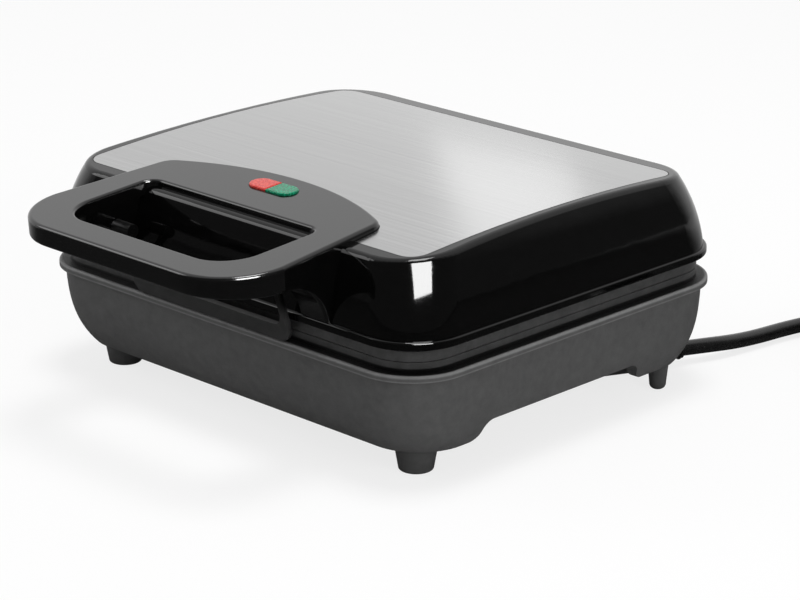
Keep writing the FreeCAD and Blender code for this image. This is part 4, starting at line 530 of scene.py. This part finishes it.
# pale floor, a white backdrop behind, a dimmer room in front and soft lamps
studio = {
    "floorHalf": 6.0,
    "floorColour": (0.86, 0.86, 0.86, 1.0),
    "floorGlow": 0.78,  # share of plain white in the floor, where it is seen
    "frontGlow": 0.96,  # share of plain glow in the floor in front, in reflections
    "floorFront": 0.04,  # how bright that glow is
    "skyFront": 0.12,  # how bright the room above it is in reflections
    "skyStrength": 0.4,
    "white": (1.0, 1.0, 1.0, 1.0),
    "backdrop": (-0.6, 0.61, 0.52),  # up towards the backdrop
    "floorEdge": (0.05, 0.4),  # metres, where the floor turns from dim to white in reflections
    "skyEdge": (0.15, 0.5),
    "lookAt": (0.0, 0.02, 0.05),
    "falls": {  # which pieces a lamp falls on: the brushed panel has lamps of its own
        "offPanel": ("EXCLUDE", ["steel_panel"]),
        "onPanel": ("INCLUDE", ["steel_panel"]),
        "onGloss": ("INCLUDE", ["lid_shell", "handle"]),
    },
    "lamps": {
        "topLight": {"place": (0.1, 0.1, 1.8), "size": (0.75, 0.6), "power": 20.0,
                     "falls": "offPanel"},
        "leftLight": {"place": (-1.5, -1.0, 1.1), "size": (0.8, 0.8), "power": 6.0,
                      "falls": "offPanel"},
        "rightLight": {"place": (1.7, -0.1, 0.7), "size": (0.7, 0.7), "power": 8.0,
                       "falls": "offPanel", "glossy": False},
        "windowLight": {"place": (1.32, -0.62, 1.08), "size": (0.95, 0.8), "power": 95.0,
                        "falls": "onGloss", "diffuse": False},
        "panelLight": {"place": (-0.31, 0.44, 0.36), "size": (0.09, 0.3), "power": 0.05,
                       "falls": "onPanel"},
        "frontCard": {"place": (1.6, -1.6, 1.1), "size": (5.0, 2.0), "power": 12.0,
                      "falls": "onPanel"},
    },
}


# whether the eye or a mirror sees it, and where it is white: to the eye, and towards the backdrop
def whereSeen(tree, coordinate, edge):
    path = tree.nodes.new("ShaderNodeLightPath").outputs
    mirrored = addMath(tree, "MAXIMUM", path["Is Glossy Ray"], path["Is Transmission Ray"])
    seen = addMath(tree, "MAXIMUM", path["Is Camera Ray"], mirrored)
    place = tree.nodes.new("ShaderNodeTexCoord").outputs[coordinate]
    toBackdrop = addVectorMath(tree, "DOT_PRODUCT", place, studio["backdrop"])
    behind = addRange(tree, toBackdrop, edge, wholeSpan)
    return seen, addMath(tree, "MAXIMUM", path["Is Camera Ray"], behind)


def makeFloor():
    half = studio["floorHalf"]
    corners = [(-half, -half, 0), (half, -half, 0), (half, half, 0), (-half, half, 0)]
    mesh = bpy.data.meshes.new("floor")
    mesh.from_pydata(corners, [], [(0, 1, 2, 3)])
    floor = bpy.data.objects.new("floor", mesh)
    scene.collection.objects.link(floor)
    material = bpy.data.materials.new("floor")
    material.use_nodes = True
    tree = material.node_tree
    tree.nodes.clear()
    out = tree.nodes.new("ShaderNodeOutputMaterial")
    mix = tree.nodes.new("ShaderNodeMixShader")
    diffuse = tree.nodes.new("ShaderNodeBsdfDiffuse")
    diffuse.inputs["Color"].default_value = studio["floorColour"]
    glow = tree.nodes.new("ShaderNodeEmission")
    glow.inputs["Color"].default_value = studio["white"]
    seen, white = whereSeen(tree, "Object", studio["floorEdge"])
    share = addRange(tree, white, wholeSpan, (studio["frontGlow"], studio["floorGlow"]))
    strength = addRange(tree, white, wholeSpan, (studio["floorFront"], 1.0))
    tree.links.new(strength, glow.inputs["Strength"])
    tree.links.new(addMath(tree, "MULTIPLY", seen, share), mix.inputs["Fac"])
    tree.links.new(diffuse.outputs["BSDF"], mix.inputs[1])
    tree.links.new(glow.outputs["Emission"], mix.inputs[2])
    tree.links.new(mix.outputs["Shader"], out.inputs["Surface"])
    mesh.materials.append(material)


def makeSky():
    world = bpy.data.worlds.new("studio")
    scene.world = world
    world.use_nodes = True
    tree = world.node_tree
    tree.nodes.clear()
    out = tree.nodes.new("ShaderNodeOutputWorld")
    mix = tree.nodes.new("ShaderNodeMixShader")
    soft = tree.nodes.new("ShaderNodeBackground")
    soft.inputs["Color"].default_value = studio["white"]
    soft.inputs["Strength"].default_value = studio["skyStrength"]
    backdrop = tree.nodes.new("ShaderNodeBackground")
    backdrop.inputs["Color"].default_value = studio["white"]
    seen, white = whereSeen(tree, "Generated", studio["skyEdge"])
    level = addRange(tree, white, wholeSpan, (studio["skyFront"], 1.0))
    tree.links.new(level, backdrop.inputs["Strength"])
    tree.links.new(seen, mix.inputs["Fac"])
    tree.links.new(soft.outputs["Background"], mix.inputs[1])
    tree.links.new(backdrop.outputs["Background"], mix.inputs[2])
    tree.links.new(mix.outputs["Shader"], out.inputs["Surface"])


def makeReceivers(name, state, names):
    receivers = bpy.data.collections.new(name)
    for nodeName in names:
        receivers.objects.link(nodes[nodeName])
    for member in receivers.collection_objects:
        member.light_linking.link_state = state
    return receivers


def makeLamp(name, lamp, receivers):
    light = bpy.data.lights.new(name, "AREA")
    light.shape = "RECTANGLE"
    light.size, light.size_y = lamp["size"]
    light.energy = lamp["power"]
    holder = bpy.data.objects.new(name, light)
    holder.location = lamp["place"]
    aim = Vector(studio["lookAt"]) - Vector(lamp["place"])
    holder.rotation_euler = aim.to_track_quat("-Z", "Y").to_euler()
    holder.visible_camera = False
    holder.visible_diffuse = lamp.get("diffuse", True)
    holder.visible_glossy = lamp.get("glossy", True)
    holder.light_linking.receiver_collection = receivers
    scene.collection.objects.link(holder)


makeFloor()
makeSky()
falls = {name: makeReceivers(name, *fall) for name, fall in studio["falls"].items()}
for lampName, lamp in studio["lamps"].items():
    makeLamp(lampName, lamp, falls[lamp["falls"]])
print("studio lit")
